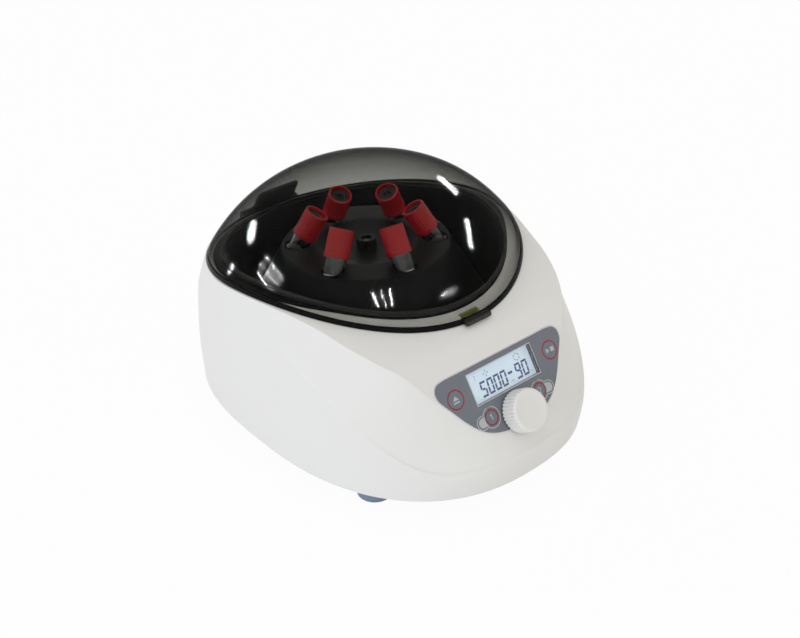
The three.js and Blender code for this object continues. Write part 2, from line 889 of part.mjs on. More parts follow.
function lidDome() {
  const angles = ringAngles(housing_steps);
  const ring = (level, inset, lift) => angles.map((angle) => domePoint(angle, level, inset, lift));
  const outer_skin = loft([
    ring(0, lid_wall, lid_gap),
    ...outer_dome_shares.map((level) => ring(level, 0, lid_gap)),
  ], false);
  const room = loft([
    ring(0, lid_wall, -cut_overrun),
    ...inner_dome_shares.map((level) => ring(level, lid_wall, lid_gap)),
  ], false);
  const lip_back = lid_wall / 2 - seat_front;
  const lip_base = seatHeight(lip_back) + lid_gap;
  const boss_front = striker_front - lock_slot_margin;
  const boss_base = striker_top + seat_gap;
  const lip = block(
    symmetric(lip_half_width),
    [-seat_front - lip_reach, lip_back],
    [lip_base, lip_base + lip_thickness],
  );
  const boss = block(
    symmetric(striker_half_width + lock_slot_margin),
    [boss_front, boss_front + striker_block_depth],
    [boss_base, boss_base + striker_block_height],
  );
  return join(cut(outer_skin, room), cut(lip, room), common(boss, outer_skin));
}

// Bowl rings that follow the saddle of the ledge, and round ones below
function seatRing(inset, lift, steps) {
  const outline = shrunk(seat_outline, inset);
  return ringAngles(steps).map((angle) => {
    const place = outlinePoint(outline, angle);
    return new THREE.Vector3(place.x, place.y, seatHeight(place.y) + lift);
  });
}

function roundRing(radius, height, steps) {
  return ringAngles(steps).map((angle) => new THREE.Vector3(radius * Math.cos(angle), radius * Math.sin(angle), height));
}

const bowl_lip_inset = ledge_width - bowl_lip_overlap;
const bowl_outer_inset = ledge_width + seat_gap;
const bowl_inner_inset = bowl_outer_inset + bowl_wall;
const bowl_lip_top = seat_gap + bowl_lip_thickness;

function rotorBowl() {
  const boss_foot = bowl_boss_radius + bowl_boss_taper;
  const under = bowl_floor_height - bowl_wall;
  const fillet_share = 0.3;
  return loft([
    roundRing(bowl_hole_radius, bowl_boss_height, bowl_steps),
    roundRing(bowl_boss_radius, bowl_boss_height, bowl_steps),
    roundRing(boss_foot, bowl_floor_height, bowl_steps),
    roundRing(bowl_radius - bowl_fillet, bowl_floor_height, bowl_steps),
    roundRing(bowl_radius - bowl_fillet * fillet_share, bowl_floor_height + bowl_fillet * fillet_share, bowl_steps),
    roundRing(bowl_radius, bowl_floor_height + bowl_fillet, bowl_steps),
    roundRing(bowl_radius, bowl_straight_height, bowl_steps),
    seatRing(bowl_inner_inset, bowl_lip_top, bowl_steps),
    seatRing(bowl_lip_inset, bowl_lip_top, bowl_steps),
    seatRing(bowl_lip_inset, seat_gap, bowl_steps),
    seatRing(bowl_outer_inset, seat_gap, bowl_steps),
    seatRing(bowl_outer_inset, -housing_wall, bowl_steps),
    roundRing(bowl_radius + bowl_wall, bowl_straight_height, bowl_steps),
    roundRing(bowl_radius + bowl_wall, bowl_floor_height + bowl_fillet, bowl_steps),
    roundRing(bowl_radius - bowl_fillet, under, bowl_steps),
    roundRing(boss_foot - bowl_wall, under, bowl_steps),
    roundRing(bowl_boss_radius - bowl_wall, bowl_boss_height - bowl_wall, bowl_steps),
    roundRing(bowl_hole_radius, bowl_boss_height - bowl_wall, bowl_steps),
  ], true);
}

function bowlGasket() {
  const outer = bowl_lip_inset + bowl_wall / 2;
  const inner = outer + gasket_width;
  const low = bowl_lip_top + seat_gap;
  return loft([
    seatRing(inner, low, bowl_steps),
    seatRing(outer, low, bowl_steps),
    seatRing(outer, low + gasket_height, bowl_steps),
    seatRing(inner, low + gasket_height, bowl_steps),
  ], true);
}

// Rotor places: each tube leans in at the top, about the point where it enters the rotor
function placeMatrix(number) {
  const turn = radians(place_start_angle) + number / place_count * full_turn;
  const station = new THREE.Matrix4().makeRotationZ(turn);
  station.multiply(new THREE.Matrix4().makeTranslation(tube_entry_radius, 0, tube_entry_height));
  return station.multiply(new THREE.Matrix4().makeRotationY(-radians(tube_tilt_angle)));
}

// A round-ended pin from its tip up to a height, used for tubes, bores and sleeves
const round_end_shares = [0, 0.7, 1];

function roundEndProfile(radius, tip, top) {
  const profile = round_end_shares.map((share) => [radius * share, tip + radius * (1 - Math.sqrt(1 - share ** 2))]);
  profile.push([radius, top]);
  return profile;
}

const tube_tip = tube_standing - tube_length;

function rotorSolid() {
  const chamfer = rotor_skin / 2;
  const skirt_inner = rotor_skirt_radius - rotor_skin;
  const deck_under = rotor_top_height - rotor_dish_depth - rotor_deck;
  const dish_height = rotor_top_height - rotor_dish_depth;
  const slope = (rotor_skirt_radius - rotor_top_radius) / (rotor_top_height - rotor_skirt_height);
  const inner_top_radius = rotor_top_radius - rotor_skin + slope * (rotor_top_height - deck_under) - chamfer;
  const outside = [
    [rotor_skirt_radius, rotor_bottom_height],
    [rotor_skirt_radius, rotor_skirt_height],
    [rotor_top_radius, rotor_top_height - chamfer],
    [rotor_top_radius - chamfer, rotor_top_height],
    [rotor_dish_edge, rotor_top_height],
    [rotor_dish_radius, dish_height],
  ];
  const skin = revolveRing([
    [skirt_inner, rotor_bottom_height],
    ...outside,
    [shaft_radius + seat_gap, dish_height],
    [shaft_radius + seat_gap, rotor_hub_height],
    [rotor_hub_radius, rotor_hub_height],
    [rotor_hub_radius, deck_under],
    [inner_top_radius, deck_under],
    [skirt_inner, rotor_skirt_height],
  ], rotor_steps);
  const envelope = revolve([[0, rotor_bottom_height], ...outside, [0, dish_height]], rotor_steps);
  const sleeve_radius = bore_radius + sleeve_wall;
  const bore_tip = tube_tip - tube_clearance;
  const sleeve = revolve([...roundEndProfile(sleeve_radius, bore_tip - sleeve_wall, 0), [0, 0]], small_round_steps);
  const bore_top = tube_standing;
  const bore = revolve([...roundEndProfile(bore_radius, bore_tip, bore_top), [0, bore_top]], small_round_steps);
  const places = Array.from({ length: place_count }, (_, number) => placeMatrix(number));
  const sleeves = places.map((place) => common(sleeve.clone().applyMatrix4(place), envelope));
  const bores = places.map((place) => bore.clone().applyMatrix4(place));
  return cut(join(skin, ...sleeves), ...bores);
}

function rotorNut() {
  const shape = new THREE.Shape();
  const points = ringAngles(nut_flute_count * 2).map((angle, i) => {
    const radius = nut_radius - (i % 2) * nut_flute_depth;
    return new THREE.Vector2(radius * Math.cos(angle), radius * Math.sin(angle));
  });
  shape.setFromPoints(points);
  const low = rotor_top_height - rotor_dish_depth + seat_gap;
  const body = extrude(shape, nut_height, low);
  return cut(body, rod(shaft_radius + seat_gap, low - cut_overrun, low + nut_height + cut_overrun, round_steps));
}

function tubeGlass() {
  const inner_radius = tube_radius - tube_wall;
  const outer = roundEndProfile(tube_radius, tube_tip, tube_standing);
  const inner = roundEndProfile(inner_radius, tube_tip + tube_wall, tube_standing).reverse();
  return revolve([...outer, ...inner], small_round_steps);
}

function tubeCap() {
  const top = tube_standing + cap_rise;
  const low = top - cap_height;
  const bore = tube_radius + seat_gap;
  const mouth = cap_radius - cap_wall;
  return revolveRing([
    [bore, low],
    [cap_radius, low],
    [cap_radius - cap_taper, top - cap_taper],
    [cap_radius - 2 * cap_taper, top],
    [mouth - cap_taper, top],
    [mouth - cap_taper, tube_standing + seat_gap],
    [bore, tube_standing + seat_gap],
  ], small_round_steps);
}

function tubeStopper() {
  const top = tube_standing + cap_rise - stopper_recess;
  const low = tube_standing + seat_gap;
  const plug_radius = tube_radius - tube_wall - seat_gap;
  const collar_radius = cap_radius - cap_wall - cap_taper - seat_gap;
  return revolve([
    [0, low - stopper_depth],
    [plug_radius, low - stopper_depth],
    [plug_radius, low],
    [collar_radius, low],
    [collar_radius, top],
    [stopper_hole_radius, top],
    [stopper_hole_radius, top - stopper_hole_depth],
    [0, top - stopper_hole_depth],
  ], small_round_steps);
}

// Motor on its plate and dampers, stacked up from the tray
const shaft_low = motor_top + motor_top_height - motor_bore_depth + seat_gap;

function motorCase() {
  const bore = shaft_radius + seat_gap;
  const top = motor_top + motor_top_height;
  return revolve([
    [0, motor_low],
    [motor_radius, motor_low],
    [motor_radius, motor_top],
    [motor_top_radius, motor_top],
    [motor_top_radius, top],
    [bore, top],
    [bore, top - motor_bore_depth],
    [0, top - motor_bore_depth],
  ], round_steps);
}

function damper() {
  const waist = damper_radius - damper_waist;
  return revolve([
    [0, damper_low],
    [damper_radius, damper_low],
    [waist, damper_low + damper_height / 2],
    [damper_radius, damper_low + damper_height],
    [0, damper_low + damper_height],
  ], small_round_steps);
}

function damperPlace(number) {
  const angle = quarter_turn + number / damper_count * full_turn;
  return [damper_circle_radius * Math.cos(angle), damper_circle_radius * Math.sin(angle)];
}

function shaftBoot() {
  const hole = shaft_radius + seat_gap;
  const neck = bowl_hole_radius - seat_gap;
  const low = bowl_boss_height - bowl_wall;
  const lip_low = bowl_boss_height + seat_gap;
  return revolveRing([
    [hole, low],
    [neck, low],
    [neck, lip_low],
    [neck + boot_lip, lip_low],
    [neck, lip_low + boot_height / 2],
    [hole + boot_lip, lip_low + boot_height],
    [hole, lip_low + boot_height],
  ], round_steps);
}

function outlineShape(outline, inset) {
  const points = ringAngles(housing_steps).map((angle) => {
    const point = outlinePoint(outline, angle);
    return point.clone().addScaledVector(outlineNormal(outline, point), -inset);
  });
  return new THREE.Shape(points);
}

function slotShape(length, width) {
  const shape = new THREE.Shape();
  const straight = (length - width) / 2;
  shape.absarc(straight, 0, width / 2, -quarter_turn, quarter_turn);
  shape.absarc(-straight, 0, width / 2, quarter_turn, half_turn + quarter_turn);
  return shape;
}

function baseTray() {
  const clear = housing_wall + seat_gap;
  const plate = extrude(outlineShape(housing_outline, clear), tray_thickness, base_height);
  const rim_height = tray_thickness + tray_rim_height;
  const rim = cut(
    extrude(outlineShape(housing_outline, clear), rim_height, base_height),
    extrude(outlineShape(housing_outline, clear + tray_rim_wall), rim_height + cut_overrun, tray_top),
  );
  const posts = Array.from({ length: damper_count }, (_, number) => {
    const [x, y] = damperPlace(number);
    return moved(rod(tray_post_radius, base_height, tray_top + tray_post_height, small_round_steps), x, y, 0);
  });
  const board_posts = [-1, 1].flatMap((side) => [-1, 1].map((end) => {
    const x = -power_board_across + side * (power_board_width / 2 - power_post_radius);
    const y = power_board_back + end * (power_board_length / 2 - power_post_radius);
    return moved(rod(power_post_radius, base_height, tray_top + power_post_height, small_round_steps), x, y, 0);
  }));
  const holes = Object.values(foot_places).map(([x, y]) => {
    return moved(rod(foot_bore_radius, 0, seat_height, small_round_steps), x, y, 0);
  });
  const vents = Array.from({ length: vent_count }, (_, number) => {
    const y = (number - (vent_count - 1) / 2) * vent_pitch;
    return moved(extrude(slotShape(vent_length, vent_width), tray_top, 0), 0, y, 0);
  });
  const body = join(plate, rim, ...posts, ...board_posts);
  return cut(body, ...holes, ...vents);
}

function foot() {
  const top = base_height - seat_gap;
  const bottom_radius = foot_radius - foot_taper;
  return revolveRing([
    [foot_recess_radius, 0],
    [bottom_radius - foot_edge, 0],
    [bottom_radius, foot_edge],
    [foot_radius, top],
    [foot_bore_radius, top],
    [foot_bore_radius, foot_recess_depth],
    [foot_recess_radius, foot_recess_depth],
  ], small_round_steps);
}

// Pieces of the control face, in the face group's own directions
const overlay_low = -pocket_depth + seat_gap;
const overlay_high = overlay_low + overlay_thickness;
const board_high = -board_depth;

function controlOverlay() {
  const body = extrude(overlayShape(0), overlay_thickness, overlay_low);
  const window_hole = block(
    symmetric(window_half_width + seat_gap),
    [-window_bottom - seat_gap, -window_top + seat_gap],
    symmetric(cut_overrun),
  );
  const key_holes = Object.values(key_places).map(({ across, down, radius }) => {
    return moved(rod(radius + seat_gap, -cut_overrun, cut_overrun, round_steps), across, -down, 0);
  });
  const bush_radius = encoder_bush_radius + seat_gap;
  const bush_hole = moved(rod(bush_radius, -cut_overrun, cut_overrun, round_steps), 0, -knob_down, 0);
  return cut(body, window_hole, ...key_holes, bush_hole);
}

function displayWindow() {
  const y_range = [-window_bottom, -window_top];
  return block(symmetric(window_half_width), y_range, [overlay_high - window_thickness, overlay_high]);
}

function displayModule() {
  const high = overlay_high - window_thickness - seat_gap;
  const low = high - display_depth;
  const y_range = [-window_bottom, -window_top];
  const rim = housing_wall / 2;
  const body = block(symmetric(window_half_width), y_range, [low, high]);
  const leg_low = board_high + seat_gap;
  const leg = block(
    [-window_half_width + rim, -window_half_width + 2 * rim],
    [y_range[0] + rim, y_range[1] - rim],
    [leg_low, low],
  );
  const other_leg = moved(leg, 2 * window_half_width - 3 * rim, 0, 0);
  return join(body, leg, other_leg);
}

function pushKey(radius) {
  const under_wall = -housing_wall - seat_gap - key_travel;
  const flange_low = under_wall - key_flange_thickness;
  const foot_low = board_high + switch_height + key_travel + seat_gap / 2;
  const top = overlay_high + key_proud;
  const soft = key_proud / 2;
  return revolve([
    [0, foot_low],
    [key_stem_radius, foot_low],
    [key_stem_radius, flange_low],
    [radius + key_flange_width, flange_low],
    [radius + key_flange_width, under_wall],
    [radius, under_wall],
    [radius, top - soft],
    [radius - soft, top],
    [0, top],
  ], round_steps);
}

function controlBoard() {
  const low = board_high - board_thickness;
  const plate = block(symmetric(board_half_width), [-board_bottom, -board_top], [low, board_high]);
  const switches = Object.values(key_places).map(({ across, down }) => block(
    [across - switch_half_width, across + switch_half_width],
    [-down - switch_half_width, -down + switch_half_width],
    [low, board_high + switch_height],
  ));
  return join(plate, ...switches);
}

const encoder_low = board_high + seat_gap;
const bush_top = encoder_low + encoder_height + encoder_bush_height;
const encoder_floor = bush_top - encoder_bore_depth;
const plunger_low = encoder_floor + encoder_travel + seat_gap / 2;
const shaft_base = plunger_low + plunger_height + seat_gap;
const knob_low = overlay_high + knob_gap;
const knob_top = knob_low + knob_height;

function encoderBody() {
  const bore = encoder_shaft_radius + seat_gap;
  const y_range = [-knob_down - encoder_half_width, -knob_down + encoder_half_width];
  const body = block(symmetric(encoder_half_width), y_range, [encoder_low, encoder_low + encoder_height]);
  const bush = moved(rod(encoder_bush_radius, encoder_low, bush_top, round_steps), 0, -knob_down, 0);
  const hole = moved(rod(bore, encoder_floor, bush_top + cut_overrun, round_steps), 0, -knob_down, 0);
  return cut(join(body, bush), hole);
}

function knobRing(radius, rib_depth, height) {
  const count = knob_rib_count * 2;
  return ringAngles(count).map((angle, i) => {
    const reach = radius - (i % 2) * rib_depth;
    return new THREE.Vector3(reach * Math.cos(angle), reach * Math.sin(angle), height);
  });
}

function controlKnob() {
  const rib_top = knob_top - knob_edge;
  const outside = loft([
    knobRing(knob_radius, knob_rib_depth, knob_low),
    knobRing(knob_radius, knob_rib_depth, rib_top),
    knobRing(knob_radius - knob_rib_depth, 0, rib_top),
    knobRing(knob_radius - knob_rib_depth - knob_edge / 2, 0, knob_top),
  ], false);
  const roof = knob_top - knob_top_thickness;
  const hollow = revolveRing([
    [knob_boss_radius, knob_low - cut_overrun],
    [knob_radius - knob_wall, knob_low - cut_overrun],
    [knob_radius - knob_wall, roof],
    [knob_boss_radius, roof],
  ], round_steps);
  const bush_room = rod(knob_boss_radius + seat_gap, knob_low - cut_overrun, bush_top + encoder_travel + seat_gap, round_steps);
  const shaft_hole = rod(encoder_shaft_radius + seat_gap, knob_low - cut_overrun, roof, round_steps);
  return cut(outside, hollow, bush_room, shaft_hole);
}

function encoderShaft() {
  return rod(encoder_shaft_radius, shaft_base, knob_top - knob_top_thickness - seat_gap, round_steps);
}

function encoderPlunger() {
  return rod(encoder_shaft_radius, plunger_low, plunger_low + plunger_height, small_round_steps);
}

function powerBoard() {
  const low = tray_top + power_post_height + seat_gap;
  const top = low + board_thickness;
  const half_width = power_board_width / 2;
  const half_length = power_board_length / 2;
  const board = block(symmetric(half_width), symmetric(half_length), [low, top]);
  const transformer = block(
    symmetric(transformer_width / 2),
    [-half_length + power_post_radius, -half_length + power_post_radius + transformer_width],
    [low, top + transformer_height],
  );
  const capacitor = rod(capacitor_radius, low, top + capacitor_height, small_round_steps);
  const side = half_width - capacitor_radius - power_post_radius;
  const capacitor_y = half_length - capacitor_radius - power_post_radius;
  const second = moved(capacitor, side, capacitor_y, 0);
  const body = join(board, transformer, moved(capacitor, -side, capacitor_y, 0), second);
  return moved(body, -power_board_across, power_board_back, 0);
}

// Lid lock

function lockCase() {
  const low = lock_top_height - lock_height;
  const front = striker_front - lock_front;
  const body = block(symmetric(lock_half_width), [front, lock_back], [low, lock_top_height - seat_gap]);
  const slot = block(slot_x, slot_y, [striker_bottom - lock_slot_margin, lock_top_height + cut_overrun]);
  const ears = [-1, 1].map((side) => {
    const ear_x = [side * (striker_half_width + lock_slot_margin + seat_gap), side * lock_half_width];
    const ear_y = [striker_back - lock_ear_length, striker_back];
    const ear_top = topHeight(striker_back - lock_ear_length) - housing_wall;
    const ear = block(ear_x.sort((a, b) => a - b), ear_y, [lock_top_height - lock_height, ear_top]);
    return cut(ear, moved(upper_shell, 0, 0, -seat_gap));
  });
  const half_bolt = bolt_height / 2 + bolt_clearance;
  const tunnel = block(
    symmetric(bolt_half_width + bolt_clearance),
    [striker_front - lock_front - cut_overrun, lock_back - lock_slot_margin / 2],
    [bolt_axis_height - half_bolt, bolt_axis_height + half_bolt],
  );
  return cut(join(body, ...ears), slot, tunnel);
}

function latchBolt() {
  const tip = striker_front - bolt_set_back;
  const half_bolt = bolt_height / 2;
  return block(
    symmetric(bolt_half_width),
    [tip - bolt_length, tip],
    [bolt_axis_height - half_bolt, bolt_axis_height + half_bolt],
  );
}

function lidStriker() {
  const plate = block(symmetric(striker_half_width), [striker_front, striker_back], [striker_bottom, striker_top]);
  const window_low = striker_bottom + striker_window_lift;
  const window_hole = block(
    symmetric(striker_window_half_width),
    [striker_front - cut_overrun, striker_back + cut_overrun],
    [window_low, window_low + striker_window_height],
  );
  return cut(plate, window_hole);
}

// Hinge pieces lie along X about the hinge line

function alongX(geometry, low) {
  return closedBody(geometry.clone().rotateY(quarter_turn).translate(low, hinge_back, hinge_height));
}

const arm_half = hinge_arm_half_width;
const bracket_inner = arm_half + hinge_gap;
const pin_half_length = bracket_inner + hinge_bracket_width - seat_gap;

function hingeBracket(side) {
  const outer = bracket_inner + hinge_bracket_width;
  const x_range = side < 0 ? [-outer, -bracket_inner] : [bracket_inner, outer];
  const floor = hinge_notch_floor + seat_gap;
  const y_range = [hinge_back - hinge_barrel_radius, hinge_back + hinge_barrel_radius];
  const foot_block = block(x_range, y_range, [floor, hinge_height]);
  const knuckle = alongX(rod(hinge_barrel_radius, 0, hinge_bracket_width, round_steps), x_range[0]);
  const bore = alongX(rod(hinge_pin_radius + seat_gap, -cut_overrun, cut_overrun, small_round_steps), x_range[0]);
  return cut(join(foot_block, knuckle), bore);
}

function hingePin() {
  return alongX(rod(hinge_pin_radius, -pin_half_length, pin_half_length, small_round_steps), 0);
}

// The arm's strap lies on the back of the dome and curls round the pin
function lidHingeArm() {
  const barrel = alongX(rod(hinge_barrel_radius, -arm_half, arm_half, round_steps), 0);
  const foot_point = domePoint(quarter_turn, 0, 0, lid_gap);
  const level = hinge_strap_height / dome_height;
  const top_point = domePoint(quarter_turn, level, 0, lid_gap);
  const slope = new THREE.Vector2(top_point.y - foot_point.y, top_point.z - foot_point.z).normalize();
  const out = new THREE.Vector2(slope.y, -slope.x);
  const low = new THREE.Vector2(foot_point.y, foot_point.z);
  const high = new THREE.Vector2(top_point.y, top_point.z);
  const skin = seat_gap * 2;
  const shape = new THREE.Shape([
    low.clone().addScaledVector(out, skin),
    new THREE.Vector2(hinge_back, hinge_height - hinge_barrel_radius / 2),
    new THREE.Vector2(hinge_back + hinge_barrel_radius / 2, hinge_height + hinge_barrel_radius / 2),
    low.clone().addScaledVector(out, skin + hinge_strap_thickness).addScaledVector(slope, hinge_barrel_radius),
    high.clone().addScaledVector(out, skin + hinge_strap_thickness),
    high.clone().addScaledVector(out, skin),
  ]);
  const strap = new THREE.ExtrudeGeometry(shape, { depth: 2 * arm_half, bevelEnabled: false });
  const turned = new THREE.Matrix4().makeBasis(
    new THREE.Vector3(0, 1, 0),
    new THREE.Vector3(0, 0, 1),
    new THREE.Vector3(1, 0, 0),
  );
  strap.applyMatrix4(turned).translate(-arm_half, 0, 0);
  const bore = alongX(rod(hinge_pin_radius + seat_gap, -cut_overrun - arm_half, cut_overrun + arm_half, small_round_steps), 0);
  return cut(join(barrel, closedBody(strap)), bore);
}

// Rear inlet and switch are drawn facing +Z about their own centres, then turned to face the rear

const rear_panel = new THREE.Group();
rear_panel.position.set(0, rear_floor, rear_recess_height);
rear_panel.rotation.set(quarter_turn, 0, half_turn, 'ZXY');

function socketShape() {
  const shape = new THREE.Shape();
  shape.moveTo(-socket_half_width, -socket_half_height);
  shape.lineTo(socket_half_width, -socket_half_height);
  shape.lineTo(socket_half_width, socket_half_height - socket_corner);
  shape.lineTo(socket_half_width - socket_corner, socket_half_height);
  shape.lineTo(-socket_half_width + socket_corner, socket_half_height);
  shape.lineTo(-socket_half_width, socket_half_height - socket_corner);
  shape.closePath();
  return shape;
}

function powerInlet() {
  const flange_top = seat_gap + inlet_flange_thickness;
  const flange = block(symmetric(inlet_flange_half_width), symmetric(inlet_flange_half_height), [seat_gap, flange_top]);
  const body = block(symmetric(inlet_body_half_width), symmetric(inlet_body_half_height), [flange_top - inlet_depth, flange_top]);
  const recess = extrude(socketShape(), socket_depth + cut_overrun, flange_top - socket_depth);
  const pin_low = flange_top - socket_depth - housing_wall / 3;
  const pin = block(symmetric(pin_half_width), symmetric(pin_half_height), [pin_low, pin_low + pin_length]);
  const pins = [
    moved(pin, -pin_across, -pin_down, 0),
    moved(pin, pin_across, -pin_down, 0),
    moved(pin, 0, earth_pin_up, 0),
  ];
  return join(cut(join(flange, body), recess), ...pins);
}

const rocker_pivot_depth = rocker_thickness / 2;

function switchFrame() {
  const flange_top = seat_gap + inlet_flange_thickness;
  const flange = block(symmetric(switch_flange_half_width), symmetric(switch_flange_half_height), [seat_gap, flange_top]);
  const body = block(symmetric(switch_body_half_width), symmetric(switch_body_half_height), [flange_top - switch_depth, flange_top]);
  const opening = block(
    symmetric(rocker_half_width + rocker_clearance / 2),
    symmetric(rocker_half_height + rocker_clearance),
    [flange_top - rocker_thickness - 2 * rocker_clearance - rocker_half_height / 2, flange_top + cut_overrun],
  );
  return cut(join(flange, body), opening);
}

function powerRocker() {
  const tip = rocker_thickness / 2;
  const shape = new THREE.Shape();
  shape.moveTo(-rocker_half_height, tip - rocker_valley);
  shape.lineTo(-rocker_half_height, tip);
  shape.lineTo(0, tip - rocker_valley);
  shape.lineTo(rocker_half_height, tip);
  shape.lineTo(rocker_half_height, tip - rocker_valley);
  shape.lineTo(rocker_half_height / 2, -tip);
  shape.lineTo(-rocker_half_height / 2, -tip);
  shape.closePath();
  const rocker = extrude(shape, 2 * rocker_half_width, -rocker_half_width);
  const turned = new THREE.Matrix4().makeBasis(
    new THREE.Vector3(0, 1, 0),
    new THREE.Vector3(0, 0, 1),
    new THREE.Vector3(1, 0, 0),
  );
  return closedBody(rocker.applyMatrix4(turned));
}

// Finishes

function finish(color, roughness, metalness = 0) {
  return new THREE.MeshStandardMaterial({ color, roughness, metalness });
}

function clearFinish(color, opacity) {
  const material = finish(color, 0.05);
  material.transparent = true;
  material.opacity = opacity;
  return material;
}

const off_white = finish(0xe4e3dc, 0.45);
const black_plastic = finish(0x141517, 0.4);
const black_rubber = finish(0x1a1b1c, 0.85);
const foot_rubber = finish(0x76869b, 0.8);
const overlay_grey = finish(0x767c82, 0.35);
const display_face = finish(0xc9dbe6, 0.3);
const board_green = finish(0x1d5a3c, 0.5);
const steel = finish(0xa9adb0, 0.35, 1);
const brass = finish(0xb5a642, 0.35, 1);
const cap_red = finish(0xb01218, 0.35);
const smoke = clearFinish(0x2a2b2d, 0.55);
const glass = clearFinish(0xe8eef0, 0.3);

// Assembly

const centrifuge = new THREE.Group();

function add(name, geometry, material, parent = centrifuge) {
  const body = closedBody(geometry.clone());
  body.computeVertexNormals();
  const mesh = new THREE.Mesh(body, material.clone());
  mesh.name = name;
  parent.add(mesh);
  return mesh;
}

add('upper_housing', upperHousing(), off_white);
add('base_tray', baseTray(), off_white);
for (const [place, [x, y]] of Object.entries(foot_places)) {
  add(`foot_${place}`, foot(), foot_rubber).position.set(x, y, 0);
}
add('rotor_bowl', rotorBowl(), black_plastic);
add('bowl_gasket', bowlGasket(), black_rubber);

add('motor_plate', rod(plate_radius, plate_low, plate_low + plate_thickness, round_steps), steel);
for (let number = 0; number < damper_count; number += 1) {
  const [x, y] = damperPlace(number);
  add(`damper_${number + 1}`, damper(), black_rubber).position.set(x, y, 0);
}
add('motor_case', motorCase(), steel);
add('shaft_boot', shaftBoot(), black_rubber);

centrifuge.add(face);
add('control_overlay', controlOverlay(), overlay_grey, face);
add('display_window', displayWindow(), glass, face);
add('display_module', displayModule(), display_face, face);
add('control_board', controlBoard(), board_green, face);
add('encoder_body', encoderBody(), steel, face);
for (const [name, { across, down, radius }] of Object.entries(key_places)) {
  add(name, pushKey(radius), overlay_grey, face).position.set(across, -down, 0);
}
add('encoder_plunger', encoderPlunger(), steel, face).position.set(0, -knob_down, 0);
add('encoder_shaft', encoderShaft(), steel, face).position.set(0, -knob_down, 0);
add('control_knob', controlKnob(), off_white, face).position.set(0, -knob_down, 0);

add('power_board', powerBoard(), board_green);
add('lock_case', lockCase(), black_plastic);
add('latch_bolt', latchBolt(), steel);
add('hinge_bracket_left', hingeBracket(-1), black_plastic);
add('hinge_bracket_right', hingeBracket(1), black_plastic);
add('hinge_pin', hingePin(), steel);

centrifuge.add(rear_panel);
add('power_inlet', powerInlet(), black_plastic, rear_panel).position.set(-inlet_across, 0, 0);
add('switch_frame', switchFrame(), black_plastic, rear_panel).position.set(-switch_across, 0, 0);
const rocker = add('power_rocker', powerRocker(), black_plastic, rear_panel);
rocker.position.set(-switch_across, 0, seat_gap + inlet_flange_thickness - rocker_pivot_depth);
rocker.rotation.x = -radians(rocker_tilt_angle);

add('lid_dome', lidDome(), smoke);
add('lid_striker', lidStriker(), brass);
add('lid_hinge_arm', lidHingeArm(), black_plastic);

add('motor_shaft', rod(shaft_radius, shaft_low, rotor_top_height, round_steps), steel);
add('rotor', rotorSolid(), black_plastic);
add('rotor_nut', rotorNut(), black_plastic);
for (let number = 0; number < place_count; number += 1) {
  const station = new THREE.Group();
  placeMatrix(number).decompose(station.position, station.quaternion, station.scale);
  centrifuge.add(station);
  add(`tube_${number + 1}`, tubeGlass(), glass, station);
  add(`tube_cap_${number + 1}`, tubeCap(), cap_red, station);
  add(`tube_stopper_${number + 1}`, tubeStopper(), black_rubber, station);
}

// The footprint is centred front to back, so the model stands at the middle of its own base
centrifuge.updateMatrixWorld(true);
const bounds = new THREE.Box3().setFromObject(centrifuge);
centrifuge.position.y = -(bounds.min.y + bounds.max.y) / 2;

export default centrifuge;
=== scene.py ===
import math

import bmesh
import bpy
import numpy as np
from mathutils import Matrix, Vector


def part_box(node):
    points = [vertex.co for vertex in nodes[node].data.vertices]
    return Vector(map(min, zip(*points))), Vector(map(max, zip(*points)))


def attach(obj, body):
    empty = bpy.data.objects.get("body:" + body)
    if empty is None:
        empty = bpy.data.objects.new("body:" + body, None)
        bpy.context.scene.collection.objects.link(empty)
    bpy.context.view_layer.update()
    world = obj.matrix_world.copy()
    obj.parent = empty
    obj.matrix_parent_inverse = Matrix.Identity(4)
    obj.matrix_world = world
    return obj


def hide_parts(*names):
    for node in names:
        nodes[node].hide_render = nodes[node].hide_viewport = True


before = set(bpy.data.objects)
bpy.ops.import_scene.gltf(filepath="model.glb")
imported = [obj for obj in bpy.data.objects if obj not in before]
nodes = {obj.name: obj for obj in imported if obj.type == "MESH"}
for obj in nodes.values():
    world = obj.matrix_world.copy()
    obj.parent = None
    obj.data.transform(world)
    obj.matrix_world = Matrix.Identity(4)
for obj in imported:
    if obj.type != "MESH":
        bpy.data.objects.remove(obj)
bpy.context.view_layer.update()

# Sizes are millimetres about the rotor axis, as in the source; pieces are put into the frame in metres.
MM = 0.001
motor_low, motor_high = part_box("motor_case")
AXIS_BACK = (motor_low[1] + motor_high[1]) / 2

# Sizes repeated from the source

HOUSING = {
    "half_width": 126.5, "centre": -22.3, "front": 161.0, "rear": 168.0, "front_power": 2.38, "rear_power": 2.7,
}
SEAT = {
    "half_width": 122.9, "centre": 4.8, "front": 128.8, "rear": 124.0, "front_power": 2.0, "rear_power": 2.0,
}
BASE_HEIGHT = 14.7
WALL = 3.0
SEAT_HEIGHT = 138.5
SEAT_FALL = 0.0836
SEAT_FRONT_DIP = 32.9
SEAT_REAR_DIP = 4.9
LEDGE_WIDTH = 14.0
DECK_BEND = 4.0
FACE_SLOPE = math.radians(57.07)
FACE_TOP = (-140.5, 103.2)
POCKET_DEPTH = 1.3
LID_WALL = 3.2
LID_GAP = 0.4
DOME_HEIGHT = 63.9
DOME_DROP = 65.5
DOME_LEAN = 4.0
KNOB_DOWN = 52.0
BUSH_HOLE = 4.9
KEY_GAP = 0.3
PAD_BACK = 145.7
INLET_ACROSS = 18
SWITCH_ACROSS = -14
TUBE_LENGTH = 100
TUBE_STANDING = 24.4
TUBE_TIP = TUBE_STANDING - TUBE_LENGTH
BOWL_RADIUS = 104.5
BOWL_FLOOR = 52
